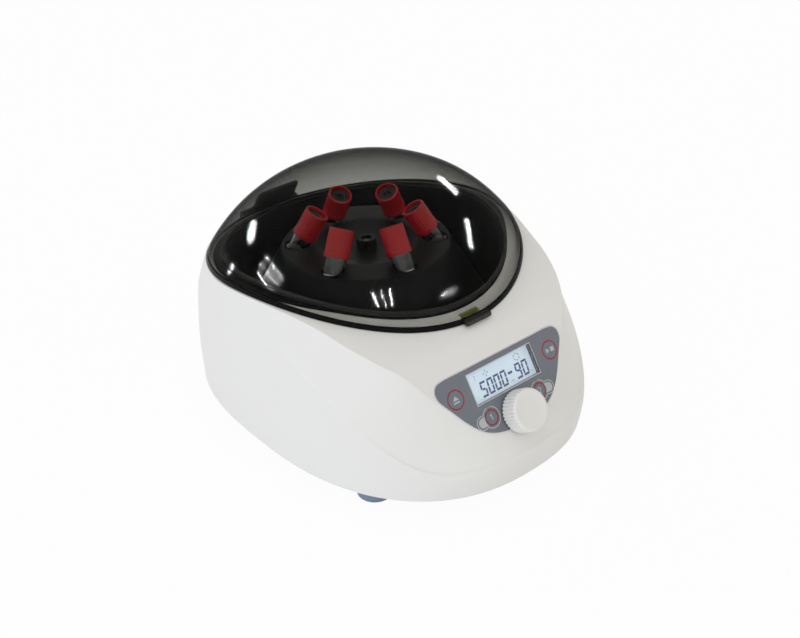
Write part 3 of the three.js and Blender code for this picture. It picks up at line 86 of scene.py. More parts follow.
TUBE_TILT = math.radians(31)
TUBE_ENTRY = (53.2, 134.2)
FIRST_PLACE = math.radians(23.1)
PLACES = 6
KEYS = {
    "door_key": (-47.3, 23.0, 6.4),
    "start_stop_key": (47.3, 23.0, 6.4),
    "program_1_key": (-24.5, 46.0, 5.0),
    "program_2_key": (24.5, 46.0, 5.0),
}
FEET = {
    "foot_front_left": (-89.0, -110.0),
    "foot_front_right": (89.0, -110.0),
    "foot_rear_left": (-78.0, 96.0),
    "foot_rear_right": (78.0, 96.0),
}

# How far cutters pass beyond what they cut, and the distance in metres below which points are merged
THROUGH = 20
WELD_DISTANCE = 0.00001


def smoothstep(value, low, high):
    share = np.clip((value - low) / (high - low), 0, 1)
    return share * share * (3 - 2 * share)


# Mesh helpers

def into_frame(points):
    points = np.array(points, dtype=float)
    points[:, 1] += AXIS_BACK / MM
    return points * MM


def place_matrix(number):
    turn = Matrix.Rotation(FIRST_PLACE + number * math.tau / PLACES, 4, "Z")
    entry = Matrix.Translation((TUBE_ENTRY[0], 0, TUBE_ENTRY[1]))
    return turn @ entry @ Matrix.Rotation(-TUBE_TILT, 4, "Y")


FACE = Matrix.Translation((0, *FACE_TOP)) @ Matrix.Rotation(FACE_SLOPE, 4, "X")
# x to the left seen from behind, y up, z out of the rear wall's flat recess
REAR_TURN = Matrix.Rotation(math.pi, 4, "Z") @ Matrix.Rotation(math.pi / 2, 4, "X")
REAR = Matrix.Translation((0, 142.0, 38.0)) @ REAR_TURN


def unit(vectors):
    return vectors / np.maximum(np.linalg.norm(vectors, axis=1), 1e-9)[:, None]


def raised(place, height):
    """Points of a plan at one height or at a height each."""
    return np.column_stack((place, np.broadcast_to(height, len(place))))


class Form:
    """Points and faces in millimetres; forms are added together and turned into one mesh."""

    def __init__(self, points=(), faces=()):
        self.points = [tuple(p) for p in points]
        self.faces = [tuple(f) for f in faces]

    def add(self, other):
        start = len(self.points)
        self.points += other.points
        self.faces += [tuple(i + start for i in face) for face in other.faces]
        return self

    def moved(self, matrix):
        return Form([matrix @ Vector(point) for point in self.points], self.faces)

    def shifted(self, x, y, z):
        return self.moved(Matrix.Translation((x, y, z)))


def loft(rings, looped=False):
    """Faces between rings of as many points each, closed at both ends or joined into a loop."""
    rings = [np.asarray(ring, dtype=float) for ring in rings]
    count = len(rings[0])
    points = [tuple(p) for ring in rings for p in ring]
    faces = []
    for band in range(len(rings) if looped else len(rings) - 1):
        low = band * count
        high = ((band + 1) % len(rings)) * count
        for i in range(count):
            j = (i + 1) % count
            faces.append((low + i, low + j, high + j, high + i))
    if not looped:
        last = (len(rings) - 1) * count
        faces.append(tuple(reversed(range(count))))
        faces.append(tuple(range(last, last + count)))
    return Form(points, faces)


def ring(radius, height, steps, ripple=None):
    turns = np.arange(steps) / steps * math.tau
    reach = np.full(steps, float(radius)) if ripple is None else radius + ripple(turns)
    return raised(np.column_stack((reach * np.cos(turns), reach * np.sin(turns))), float(height))


def revolve(profile, steps, looped=False):
    """Profile points are (radius, height), from low to high outside, or round a ring when looped."""
    return loft([ring(max(radius, 0.001), height, steps) for radius, height in profile], looped)


def softened(corners, radius, steps=4):
    """The same profile with every corner between its two ends rounded."""
    corners = [np.array(c, dtype=float) for c in corners]
    out = [corners[0]]
    for before, corner, after in zip(corners, corners[1:], corners[2:]):
        reach = min(radius, np.linalg.norm(before - corner) * 0.45, np.linalg.norm(after - corner) * 0.45)
        start = corner + (before - corner) / max(np.linalg.norm(before - corner), 1e-6) * reach
        end = corner + (after - corner) / max(np.linalg.norm(after - corner), 1e-6) * reach
        for k in range(steps + 1):
            t = k / steps
            out.append((1 - t) ** 2 * start + 2 * t * (1 - t) * corner + t * t * end)
    out.append(corners[-1])
    return [tuple(p) for p in out]


def prism(outline, low, high):
    bottom = [(x, y, low) for x, y in outline]
    top = [(x, y, high) for x, y in outline]
    return loft([bottom, top])


def soft_prism(outline, low, high, edge, steps=3):
    """A prism whose top edge is rounded; the outline must be convex or nearly so."""
    outline = np.array(outline, dtype=float)
    before = outline - np.roll(outline, 1, axis=0)
    after = np.roll(outline, -1, axis=0) - outline
    along = unit(before) + unit(after)
    inward = unit(np.column_stack((-along[:, 1], along[:, 0])))
    levels = [(low, 0)]
    for k in range(steps + 1):
        turn = k / steps * math.pi / 2
        levels.append((high - edge + edge * math.sin(turn), edge * (1 - math.cos(turn))))
    return loft([raised(outline + inward * inset, height) for height, inset in levels])


def rounded_rectangle(half_x, half_y, radius, steps=6):
    points = []
    for turn, (side_x, side_y) in enumerate(((1, -1), (1, 1), (-1, 1), (-1, -1))):
        centre_x, centre_y = side_x * (half_x - radius), side_y * (half_y - radius)
        for k in range(steps + 1):
            angle = (turn - 1 + k / steps) * math.pi / 2
            points.append((centre_x + radius * math.cos(angle), centre_y + radius * math.sin(angle)))
    return points


def circle(radius, steps=48):
    return [(radius * math.cos(t), radius * math.sin(t)) for t in np.arange(steps) / steps * math.tau]


def block(x_range, y_range, z_range):
    (left, far_right), (front, rear) = x_range, y_range
    return prism([(left, front), (far_right, front), (far_right, rear), (left, rear)], *z_range)


def linked(name, data):
    """A new object, put into the scene."""
    made = bpy.data.objects.new(name, data)
    bpy.context.scene.collection.objects.link(made)
    return made


def make_object(name, form):
    mesh = bpy.data.meshes.new(name)
    mesh.from_pydata([tuple(p) for p in into_frame(form.points)], [], form.faces)
    mesh.validate()
    made = linked(name, mesh)
    weld(made)
    return made


def weld(made):
    """Near points are merged and the faces are made to point out."""
    work = bmesh.new()
    work.from_mesh(made.data)
    bmesh.ops.remove_doubles(work, verts=work.verts, dist=WELD_DISTANCE)
    bmesh.ops.recalc_face_normals(work, faces=work.faces)
    work.to_mesh(made.data)
    work.free()


def combine(made, others, operation):
    """Joins or cuts others into made; the others are used up."""
    for other in others:
        tool = made.modifiers.new("shape", "BOOLEAN")
        tool.operation = operation
        tool.solver = "EXACT"
        tool.object = other
        settled = bpy.data.meshes.new_from_object(made.evaluated_get(bpy.context.evaluated_depsgraph_get()))
        made.modifiers.clear()
        old = made.data
        made.data = settled
        bpy.data.meshes.remove(old)
        bpy.data.objects.remove(other, do_unlink=True)
    return made


def cut(made, *forms):
    return combine(made, [make_object("cutter", form) for form in forms], "DIFFERENCE")


def join(made, *forms):
    return combine(made, [make_object("addition", form) for form in forms], "UNION")


def finished(made, name, body, material, replaces=(), smooth=32):
    """Names a piece, gives it its material and shading, and puts it on its body."""
    made.name = name
    made.data.name = name
    made.data.materials.clear()
    made.data.materials.append(material)
    for polygon in made.data.polygons:
        polygon.material_index = 0
    made.data.shade_smooth()
    made.data.set_sharp_from_angle(angle=math.radians(smooth))
    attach(made, body)
    if replaces:
        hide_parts(*replaces)
    return made


def piece(name, form, body, material, replaces=(), smooth=32):
    return finished(make_object(name, form), name, body, material, replaces, smooth)


# Shapes of the housing and lid

def outline_points(outline, turns, inset=0.0):
    low = np.zeros_like(turns)
    high = np.full_like(turns, 600.0)
    across, along = np.cos(turns), np.sin(turns)
    for _ in range(50):
        middle = (low + high) / 2
        x, y = middle * across, middle * along
        behind = y > outline["centre"]
        length = np.where(behind, outline["rear"], outline["front"]) - inset
        power = np.where(behind, outline["rear_power"], outline["front_power"])
        across_share = np.abs(x / (outline["half_width"] - inset))
        reach = across_share ** power + np.abs((y - outline["centre"]) / length) ** power
        high = np.where(reach > 1, middle, high)
        low = np.where(reach > 1, low, middle)
    return np.column_stack((low * across, low * along))


def outline_normals(outline, points):
    x, y = points[:, 0], points[:, 1]
    behind = y > outline["centre"]
    length = np.where(behind, outline["rear"], outline["front"])
    power = np.where(behind, outline["rear_power"], outline["front_power"])
    across, along = x / outline["half_width"], (y - outline["centre"]) / length
    return unit(np.column_stack((
        np.sign(across) * np.abs(across) ** (power - 1) / outline["half_width"],
        np.sign(along) * np.abs(along) ** (power - 1) / length,
    )))


def seat_height(y):
    back = y - SEAT["centre"]
    front_dip, rear_dip = SEAT_FRONT_DIP * (back / SEAT["front"]) ** 2, SEAT_REAR_DIP * (back / SEAT["rear"]) ** 2
    return SEAT_HEIGHT - SEAT_FALL * back - np.where(back < 0, front_dip, rear_dip)


def on_seat(place, lift=0):
    return raised(place, seat_height(place[:, 1]) + lift)


def top_height(y):
    face = FACE_TOP[1] + (y - FACE_TOP[0]) * math.tan(FACE_SLOPE)
    deck = seat_height(y)
    return (face + deck - np.hypot(face - deck, DECK_BEND)) / 2


def mix(a, b, share):
    return a + (b - a) * share


def housing_levels(turns):
    """Rings from the bottom edge over the chin, shoulder and deck to the opening, then back down inside."""
    edge = outline_points(HOUSING, turns)
    seat = outline_points(SEAT, turns)
    opening = outline_points(SEAT, turns, LEDGE_WIDTH)
    normal = outline_normals(HOUSING, edge)

    def at(inset, height):
        return raised(edge - normal * np.broadcast_to(inset, turns.shape)[:, None], height)

    ahead = edge[:, 1] < HOUSING["centre"]
    across = np.minimum(1, np.abs(edge[:, 0]) / HOUSING["half_width"]) ** (HOUSING["front_power"] / 2)
    turn = np.where(ahead, np.degrees(np.arccos(across)), 0)
    chin = smoothstep(turn, 6, 68)
    flare = smoothstep(turn, 15, 60)
    rear = smoothstep(edge[:, 1], 0, 90)
    lean = mix(1, 7, rear) * (1 - flare)

    def lean_at(height):
        return lean * (np.maximum(0, height - 55) / 55) ** 1.5

    front = smoothstep(-edge[:, 1], -5, 90)
    nose = 1 - smoothstep(np.abs(edge[:, 0]), 22, 62)
    shoulder_rear = smoothstep(edge[:, 1], 20, 90)
    nose_cut = np.where(edge[:, 1] < 0, front * nose * 8.5, 0)
    corner = shoulder_rear * smoothstep(np.abs(edge[:, 0]), 40, 85)
    shoulder_inset = 2.5 + front * 14.5 - nose_cut + shoulder_rear * 6.5 + corner * 4
    shoulder = edge - normal * shoulder_inset[:, None]
    drop = (mix(0.05, 0.5, rear) + corner * 0.1) * np.linalg.norm(shoulder - seat, axis=1) + corner * 4
    shoulder_height = top_height(shoulder[:, 1]) - drop

    chin_height = mix(mix(BASE_HEIGHT, shoulder_height, 0.77), 38, chin)
    crest_inset = lean_at(chin_height) + flare * 0.3
    hollow = smoothstep(-edge[:, 1], 40, 150)
    sag = mix(-0.09, 0.15, hollow) * (shoulder_height - chin_height)

    def bend(share):
        middle_inset = (crest_inset + shoulder_inset) / 2
        middle_height = (chin_height + shoulder_height) / 2 - sag
        back = 1 - share
        first, middle, last = back * back, 2 * share * back, share * share
        inset = first * crest_inset + middle * middle_inset + last * shoulder_inset
        height = first * chin_height + middle * middle_height + last * shoulder_height
        return inset, height

    def deck(start, end, share, thickness):
        place = mix(start, end, share)
        slope = (top_height(place[:, 1] + DECK_BEND) - top_height(place[:, 1] - DECK_BEND)) / (2 * DECK_BEND)
        height = top_height(place[:, 1]) - drop * (1 - share) ** 2 - thickness * np.hypot(1, slope)
        return raised(place, height)

    wall_height = mix(BASE_HEIGHT, chin_height, 0.45)
    wall_inset = lean_at(wall_height) - 2.5 * flare * flare * 0.75
    outer = [at(0, BASE_HEIGHT), at(wall_inset, wall_height)]
    outer.append(at(lean_at(chin_height - 6) - 2.5 * flare, chin_height - 6))
    outer.append(at(lean_at(chin_height - 1.62) - 1.8 * flare, chin_height - 1.62))
    outer.append(at(crest_inset, chin_height))
    outer += [at(*bend(share)) for share in (0.2, 0.4, 0.6, 0.8, 0.93)]
    outer.append(at(shoulder_inset, shoulder_height))
    outer += [deck(shoulder, seat, share, 0) for share in (0.06, 0.15, 0.26, 0.38, 0.5, 0.62, 0.74, 0.87, 1)]
    outer += [on_seat(mix(seat, opening, 0.5)), on_seat(opening)]
    middle_inset, middle_height = bend(0.5)
    inner_shoulder = edge - normal * (shoulder_inset + WALL)[:, None]
    inner = [on_seat(opening, -WALL)]
    inner += [deck(opening, inner_shoulder, share, WALL) for share in (0.2, 0.4, 0.6, 0.8, 0.92)]
    inner.append(deck(inner_shoulder, seat, 0, WALL))
    inner.append(at(middle_inset + WALL, middle_height - WALL / 2))
    inner.append(at(crest_inset + WALL, chin_height - WALL))
    inner.append(at(wall_inset + WALL, wall_height))
    inner.append(at(WALL, BASE_HEIGHT))
    return outer, inner


def flowing(rings, steps):
    """More rings along a smooth curve through the given ones."""
    rings = [np.asarray(r) for r in rings]
    out = []
    for i in range(len(rings) - 1):
        a = rings[max(i - 1, 0)]
        b, c = rings[i], rings[i + 1]
        d = rings[min(i + 2, len(rings) - 1)]
        ab = np.maximum(np.linalg.norm(b - a, axis=1), 1e-6)[:, None] ** 0.5
        bc = np.maximum(np.linalg.norm(c - b, axis=1), 1e-6)[:, None] ** 0.5
        cd = np.maximum(np.linalg.norm(d - c, axis=1), 1e-6)[:, None] ** 0.5
        start = (c - b) if i == 0 else bc * ((b - a) / ab - (c - a) / (ab + bc) + (c - b) / bc)
        end = (c - b) if i == len(rings) - 2 else bc * ((c - b) / bc - (d - b) / (bc + cd) + (d - c) / cd)
        for k in range(steps):
            t = k / steps
            out.append(
                (2 * t ** 3 - 3 * t ** 2 + 1) * b + (t ** 3 - 2 * t ** 2 + t) * start
                + (3 * t ** 2 - 2 * t ** 3) * c + (t ** 3 - t ** 2) * end
            )
    out.append(rings[-1])
    return out


def dome_ring(turns, level, inset, lift):
    height = DOME_HEIGHT - inset
    depth = DOME_DROP + DOME_HEIGHT
    widest = math.sqrt(1 - (DOME_DROP / depth) ** 2)
    level = np.broadcast_to(level, turns.shape)
    share = np.sqrt(np.maximum(0, 1 - ((DOME_DROP + DOME_HEIGHT * level) / depth) ** 2)) / widest
    rim = outline_points(SEAT, turns, inset)
    x = rim[:, 0] * share
    y = SEAT["centre"] + (rim[:, 1] - SEAT["centre"]) * share + DOME_LEAN * level
    saddle = seat_height(rim[:, 1]) - seat_height(np.array(SEAT["centre"]))
    fall = -SEAT_FALL * (y - SEAT["centre"]) * level
    z = SEAT_HEIGHT + lift * (1 - level) + height * level + saddle * (1 - level) * share + fall
    return np.column_stack((x, y, z))


def lid_skin(turns, inset, lift, skirt_shares, dome_shares):
    """The lid's skin: a straight skirt up to a crease, then the dome; shares run from 0 to 1 on each."""
    across, along = np.cos(turns), np.sin(turns)
    ahead = np.where(along < 0, along ** 2, 0)
    behind = np.where(along > 0, along ** 2, 0)
    crease_level = 0.086 + 0.079 * ahead + 0.034 * behind
    swell = 0.8 + 1.7 * ahead - 0.8 * behind
    outward = np.column_stack((across, along, np.zeros_like(turns)))
    foot = dome_ring(turns, 0, inset, lift)
    crease = dome_ring(turns, crease_level, inset, lift) + outward * swell[:, None]
    rings = [mix(foot, crease, share) for share in skirt_shares]
    for share in dome_shares:
        level = crease_level + (1 - crease_level) * share
        fade = max(0, 1 - share / 0.45) ** 2
        rings.append(dome_ring(turns, level, inset, lift) + outward * (swell * fade)[:, None])
    return rings


def skirt_share(turns, height):
    """How far up the skirt a line at this height above its foot runs, all round."""
    foot, crease = lid_skin(turns, 0, LID_GAP, (0, 1), ())
    return (height / np.linalg.norm(crease - foot, axis=1))[:, None]


def dome_levels(count):
    """Even steps along the dome's side, as shares of its height."""
    depth = DOME_DROP + DOME_HEIGHT
    low = math.asin(DOME_DROP / depth)
    turns = [low + (math.pi / 2 - low) * k / count for k in range(count + 1)]
    return [(depth * math.sin(turn) - DOME_DROP) / DOME_HEIGHT for turn in turns]


# Node groups shared by the materials

def fill(made, values):
    for key, value in values.items():
        made.inputs[key].default_value = value


def node(tree, kind, values=(), **settings):
    made = tree.nodes.new(kind)
    for key, value in settings.items():
        setattr(made, key, value)
    fill(made, dict(values))
    return made


def wire(tree, *runs):
    """Each run is a node and its output, then a node and its input."""
    for source, out, target, into in runs:
        tree.links.new(source.outputs[out], target.inputs[into])


def new_material(name):
    material = bpy.data.materials.new(name)
    material.use_nodes = True
    return material, material.node_tree, material.node_tree.nodes["Principled BSDF"]


def moulded_grain_group():
    """Fine moulded texture: a height for the bump, a mottled colour and a roughness that varies a little."""
    group = bpy.data.node_groups.new("moulded_grain", "ShaderNodeTree")
    for label in ("Colour", "Shade", "Mottle", "Roughness", "Spread", "Grain Scale", "Grain Depth"):
        kind = "NodeSocketColor" if label in ("Colour", "Shade") else "NodeSocketFloat"
        group.interface.new_socket(label, in_out="INPUT", socket_type=kind)
    for label, kind in (("Colour", "Color"), ("Roughness", "Float"), ("Normal", "Vector")):
        group.interface.new_socket(label, in_out="OUTPUT", socket_type="NodeSocket" + kind)
    entry = node(group, "NodeGroupInput")
    leave = node(group, "NodeGroupOutput")
    place = node(group, "ShaderNodeTexCoord")
    cloud = node(group, "ShaderNodeTexNoise", {"Scale": 14.0, "Detail": 4.0, "Roughness": 0.6})
    speck = node(group, "ShaderNodeTexNoise", {"Scale": 420.0, "Detail": 2.0, "Roughness": 0.5})
    grain = node(group, "ShaderNodeTexNoise", {"Detail": 3.0, "Roughness": 0.55})
    both = node(group, "ShaderNodeMath", {1: 0.5}, operation="MULTIPLY_ADD")
    spread = node(group, "ShaderNodeMapRange", {"From Min": 0.45, "From Max": 1.05})
    amount = node(group, "ShaderNodeMath", operation="MULTIPLY")
    tone = node(group, "ShaderNodeMix", data_type="RGBA")
    centred = node(group, "ShaderNodeMath", {1: 0.5}, operation="SUBTRACT")
    rough = node(group, "ShaderNodeMath", operation="MULTIPLY_ADD")
    bump = node(group, "ShaderNodeBump", {"Distance": 0.0001})
    wire(
        group,
        (place, "Object", cloud, "Vector"), (place, "Object", speck, "Vector"), (place, "Object", grain, "Vector"),
        (entry, "Grain Scale", grain, "Scale"), (speck, "Fac", both, 0), (cloud, "Fac", both, 2),
        (both, 0, spread, "Value"), (spread, "Result", amount, 0), (entry, "Mottle", amount, 1),
        (amount, 0, tone, "Factor"), (entry, "Colour", tone, "A"), (entry, "Shade", tone, "B"),
        (tone, "Result", leave, "Colour"), (cloud, "Fac", centred, 0), (centred, 0, rough, 0),
        (entry, "Spread", rough, 1), (entry, "Roughness", rough, 2), (rough, 0, leave, "Roughness"),
        (entry, "Grain Depth", bump, "Strength"), (grain, "Fac", bump, "Height"), (bump, "Normal", leave, "Normal"),
    )
    return group


MOULDED_GRAIN = moulded_grain_group()


def grained(
    name, colour, shade=None, mottle=0.3, roughness=0.4, spread=0.1, scale=1800.0, depth=0.2,
    metal=0.0, coat=0.0, gloss=0.5,
):
    """A solid material with the shared grain; shade is the second tone that the mottling mixes in."""
    material, tree, shader = new_material(name)
    grain = node(tree, "ShaderNodeGroup", {
        "Colour": (*colour, 1), "Shade": (*(shade or [c * 0.86 for c in colour]), 1), "Mottle": mottle,
        "Roughness": roughness, "Spread": spread, "Grain Scale": scale, "Grain Depth": depth,
    }, node_tree=MOULDED_GRAIN)
    for out, into in (("Colour", "Base Color"), ("Roughness", "Roughness"), ("Normal", "Normal")):
        wire(tree, (grain, out, shader, into))
    fill(shader, {"Metallic": metal, "Coat Weight": coat, "Coat Roughness": 0.08, "Specular IOR Level": gloss})
    return material


def clear(name, colour, haze, ior, smudge):
    """Clear plastic or glass, a little uneven in its polish: roughness runs from haze up by smudge."""
    material, tree, shader = new_material(name)
    place = node(tree, "ShaderNodeTexCoord")
    cloud = node(tree, "ShaderNodeTexNoise", {"Scale": 22.0, "Detail": 5.0, "Roughness": 0.65})
    polish = node(tree, "ShaderNodeMapRange", {
        "From Min": 0.4, "From Max": 0.75, "To Min": haze, "To Max": haze + smudge,
    })
    tone = node(tree, "ShaderNodeMix", {"A": (*colour, 1), "B": (*[c * 0.94 for c in colour], 1)}, data_type="RGBA")
    wire(
        tree, (place, "Object", cloud, "Vector"), (cloud, "Fac", polish, "Value"),
        (polish, "Result", shader, "Roughness"), (cloud, "Fac", tone, "Factor"), (tone, "Result", shader, "Base Color"),
    )
    fill(shader, {"IOR": ior, "Transmission Weight": 1.0})
    return material


housing_white = grained("housing_white", (0.80, 0.79, 0.75), (0.77, 0.755, 0.71), 0.35, 0.42, 0.08, 2200, 0.18)
tray_grey = grained("tray_grey", (0.52, 0.53, 0.52), roughness=0.5)
foot_rubber = grained("foot_rubber", (0.20, 0.26, 0.34), (0.15, 0.19, 0.26), 0.5, 0.62, 0.15, 900, 0.35)
bowl_black = grained("bowl_black", (0.004, 0.004, 0.0045), (0.007, 0.007, 0.008), 0.4, 0.38, 0.1, 1500, 0.02, gloss=0.1)
soft_black = grained("soft_black", (0.014, 0.014, 0.014), (0.03, 0.03, 0.03), 0.5, 0.7, 0.2, 800, 0.4)
hard_black = grained("hard_black", (0.016, 0.016, 0.017), (0.028, 0.028, 0.03), 0.5, 0.38, 0.12)
rocker_black = grained("rocker_black", (0.012, 0.012, 0.013), (0.02, 0.02, 0.02), 0.3, 0.18, 0.08)
rotor_black = grained(
    "rotor_black", (0.004, 0.004, 0.0045), (0.008, 0.008, 0.009), 0.4, 0.34, 0.1, 1500, 0.02, gloss=0.12,
)
overlay_grey = grained("overlay_grey", (0.158, 0.172, 0.196), (0.143, 0.157, 0.180), 0.5, 0.42, 0.08, 2600, 0.12)
key_red = grained("key_red", (0.40, 0.030, 0.045), (0.34, 0.026, 0.04), 0.4, 0.35)
print_pale = grained("print_pale", (0.46, 0.49, 0.48), (0.40, 0.43, 0.42), 0.4, 0.4, 0.06, 2600, 0.05)
well_dark = grained("well_dark", (0.018, 0.024, 0.045), (0.012, 0.022, 0.022), 0.6, 0.22, 0.08, 2600, 0.05)
display_pale = grained("display_pale", (0.62, 0.72, 0.80), (0.56, 0.67, 0.77), 0.6, 0.28, 0.06, 3000, 0.05, coat=0.3)
glow = display_pale.node_tree
glow_shader = glow.nodes["Principled BSDF"]
glow.links.new(glow_shader.inputs["Base Color"].links[0].from_socket, glow_shader.inputs["Emission Color"])
glow_shader.inputs["Emission Strength"].default_value = 0.55
# Pale print of the window's border; the same pale colour on the well's step is a painted highlight line
frame_print_and_highlight = grained("frame_print_and_highlight", (0.76, 0.80, 0.82), (0.70, 0.74, 0.77), 0.4, 0.3, 0.06)
digit_blue = grained("digit_blue", (0.012, 0.038, 0.24), (0.020, 0.050, 0.28), 0.5, 0.3)
sign_blue = grained("sign_blue", (0.12, 0.17, 0.30), (0.16, 0.21, 0.34), 0.5, 0.3)
board_green = grained("board_green", (0.02, 0.12, 0.06), (0.03, 0.16, 0.08), 0.6, 0.35, 0.1, 700, 0.3)
turned_steel = grained("turned_steel", (0.30, 0.305, 0.31), (0.22, 0.225, 0.23), 0.5, 0.32, 0.2, 2400, 0.12, metal=1.0)
motor_enamel = grained("motor_enamel", (0.06, 0.065, 0.07), (0.09, 0.095, 0.10), 0.4, 0.35, 0.15, 900, 0.2)
yellow_metal = grained("yellow_metal", (0.62, 0.58, 0.16), (0.50, 0.55, 0.20), 0.6, 0.32, 0.2, 1500, 0.2, metal=1.0)
knob_white = grained("knob_white", (0.80, 0.79, 0.745), (0.76, 0.75, 0.70), 0.35, 0.36, 0.08, 2400, 0.15)
cap_red = grained("cap_red", (0.45, 0.006, 0.010), (0.37, 0.004, 0.008), 0.35, 0.18, 0.06, 1500, 0.01, coat=0.15)
stopper_black = grained("stopper_black", (0.016, 0.011, 0.011), (0.026, 0.019, 0.018), 0.5, 0.5, 0.12, 1500, 0.04)
label_white = grained("label_white", (0.80, 0.80, 0.79), (0.72, 0.72, 0.70), 0.5, 0.45, 0.1, 1500, 0.02)
smoky_clear = clear("smoky_clear", (0.90, 0.90, 0.88), 0.0, 1.01, 0.015)
smoke = smoky_clear.node_tree
smoke_depth = node(smoke, "ShaderNodeVolumeAbsorption", {"Color": (0.10, 0.10, 0.085, 1), "Density": 145.0})
wire(smoke, (smoke_depth, "Volume", smoke.nodes["Material Output"], "Volume"))
fill(smoke.nodes["Principled BSDF"], {"Coat Weight": 0.06, "Coat IOR": 1.5, "Coat Roughness": 0.05})
edge_black = grained(
    "edge_black", (0.003, 0.003, 0.0035), (0.005, 0.005, 0.006), 0.4, 0.34, 0.06, 2600, 0.05, gloss=0.06,
)
lip_smoke = grained("lip_smoke", (0.014, 0.013, 0.010), (0.022, 0.021, 0.016), 0.4, 0.25, 0.06, 2600, 0.05, gloss=0.3)
tube_clear = clear("tube_clear", (0.93, 0.95, 0.95), 0.02, 1.49, 0.04)
window_clear = clear("window_clear", (0.95, 0.97, 0.98), 0.05, 1.45, 0.04)

# Housing: one moulded shell, cut for the overlay, display, keys, knob, latch, hinge and inlet

TURNS = np.arange(256) / 256 * math.tau
outer_levels, inner_levels = housing_levels(TURNS)
outer_rings = flowing(outer_levels, 4)
housing = make_object("housing_shell", loft(outer_rings + inner_levels, looped=True))


SHIELD = [
    (0, -61.0), (11.5, -60.4), (18.5, -59.4), (26.5, -57.0), (34.0, -52.9), (40.5, -47.2), (46.4, -40.0), (51.7, -32.2),
    (57.0, -24.2), (60.7, -17.5), (60.6, -12.0), (57.6, -8.4), (52.0, -7.3), (36.0, -7.3), (18.0, -7.3), (0, -7.3),
]


def overlay_outline(grow):
    """A smooth line through the shield's points and their mirror images, moved out by grow."""
    half = SHIELD + [(-x, y) for x, y in reversed(SHIELD[1:-1])]
    line = np.array([stop[0] for stop in flowing([np.array([point]) for point in half + half[:1]], 5)])[:-1]
    along = np.roll(line, -1, axis=0) - np.roll(line, 1, axis=0)
    outward = unit(np.column_stack((along[:, 1], -along[:, 0])))
    return [tuple(point) for point in line + outward * grow]


def on_face(form):
    return form.moved(FACE)


def on_rear(form):
    return form.moved(REAR)


def face_holes(made):
    """Cuts the holes of the keys and of the knob's bush."""
    holes = [prism(circle(radius + KEY_GAP), -THROUGH, THROUGH).shifted(x, -y, 0) for x, y, radius in KEYS.values()]
    holes.append(prism(circle(BUSH_HOLE), -THROUGH, THROUGH).shifted(0, -KNOB_DOWN, 0))
    for hole in holes:
        cut(made, on_face(hole))


hinge_pad = block((-38, 38), (124, PAD_BACK), (108, SEAT_HEIGHT))
rear_pad = block((-40, 28), (134, PAD_BACK), (20, 56))
outer_block = loft(outer_rings)
for pad in (hinge_pad, rear_pad):
    pad_piece = make_object("pad", pad)
    combine(pad_piece, [make_object("outside", outer_block)], "INTERSECT")
    combine(housing, [pad_piece], "UNION")
cut(housing, on_face(prism(overlay_outline(1), -POCKET_DEPTH, THROUGH)))
cut(housing, on_face(block((-32.6, 32.6), (-35.4, -10.3), (-THROUGH, THROUGH))))
face_holes(housing)
cut(housing, on_rear(soft_prism(rounded_rectangle(31, 15, 2.5), 0, 25, 0.01).shifted(6, 0, 0)))
cut(housing, on_rear(prism(rounded_rectangle(14.3, 10.3, 1.0), -30, 3).shifted(INLET_ACROSS, 0, 0)))
cut(housing, on_rear(prism(rounded_rectangle(6.9, 10.1, 0.8), -30, 3).shifted(SWITCH_ACROSS, 0, 0)))
cut(housing, block((-34, 34), (128, 170), (112, 165)))
cut(housing, block((-9, 9), (-119.6, -114.1), (105.5, 160)))
finished(housing, "housing_shell", "housing", housing_white, ["upper_housing"], 30)

# Lid: the clear dome on its black edge, with the finger lip in front

LID_EDGE = 3.3
EDGE_WALL = 1.7
dome_turns = np.arange(192) / 192 * math.tau
edge_share = skirt_share(dome_turns, LID_EDGE)
dome_shares = dome_levels(44)[1:-1]
outer_skin = lid_skin(dome_turns, 0, LID_GAP, (edge_share, 0.5 + edge_share / 2, 0.97, 1), dome_shares)
smoky_dome = make_object("smoky_dome", loft(outer_skin))
inner_skin = lid_skin(dome_turns, LID_WALL, LID_GAP, (-0.4, 0.5, 1), dome_levels(44)[1:])
cut(smoky_dome, loft(inner_skin))
finished(smoky_dome, "smoky_dome", "lid", smoky_clear, ["lid_dome"], 35)
low_share = skirt_share(dome_turns, 0.7)
high_share = skirt_share(dome_turns, LID_EDGE - 0.03)
edge_rings = lid_skin(dome_turns, 0.4, LID_GAP, (0,), ())
edge_rings += lid_skin(dome_turns, 0, LID_GAP, (low_share, high_share), ())
edge_rings += lid_skin(dome_turns, EDGE_WALL, LID_GAP, (high_share, 0), ())
piece("lid_edge_black", loft(edge_rings, looped=True), "lid", edge_black, smooth=50)
LID_FRONT = SEAT["centre"] - SEAT["front"]
lip_base = float(seat_height(np.array(LID_FRONT + 1.6))) + LID_GAP
lip_outline = [(x, LID_FRONT - 1.2 + y) for x, y in rounded_rectangle(12, 2.8, 1.4)]
piece("finger_lip", soft_prism(lip_outline, lip_base, lip_base + 3, 0.8), "lid", lip_smoke, smooth=50)

# Rotor with six places, its nut, tubes, caps and stoppers

skirt = [(95.5, 66), (99, 66), (99, 78), (66.6, 134.2), (65.8, 135.2), (64.6, 135.5), (40, 135.5), (24, 131)]
rotor_ring = skirt + [(4.3, 131), (4.3, 92), (14, 92), (14, 126), (61.9, 126), (95.5, 78)]
rotor = make_object("rotor_body", revolve(softened(skirt, 1.5) + rotor_ring[8:], 128, looped=True))
sleeve_tip = TUBE_TIP - 0.5
SLEEVE_RADIUS, PLACE_RADIUS, TUBE_RADIUS, TUBE_BORE = 10.9, 8.5, 8, 6.9
tip_turns = [k / 8 * math.pi / 2 for k in range(9)]


def round_tip(radius, tip):
    return [(radius * math.sin(t), tip + radius * (1 - math.cos(t))) for t in tip_turns]


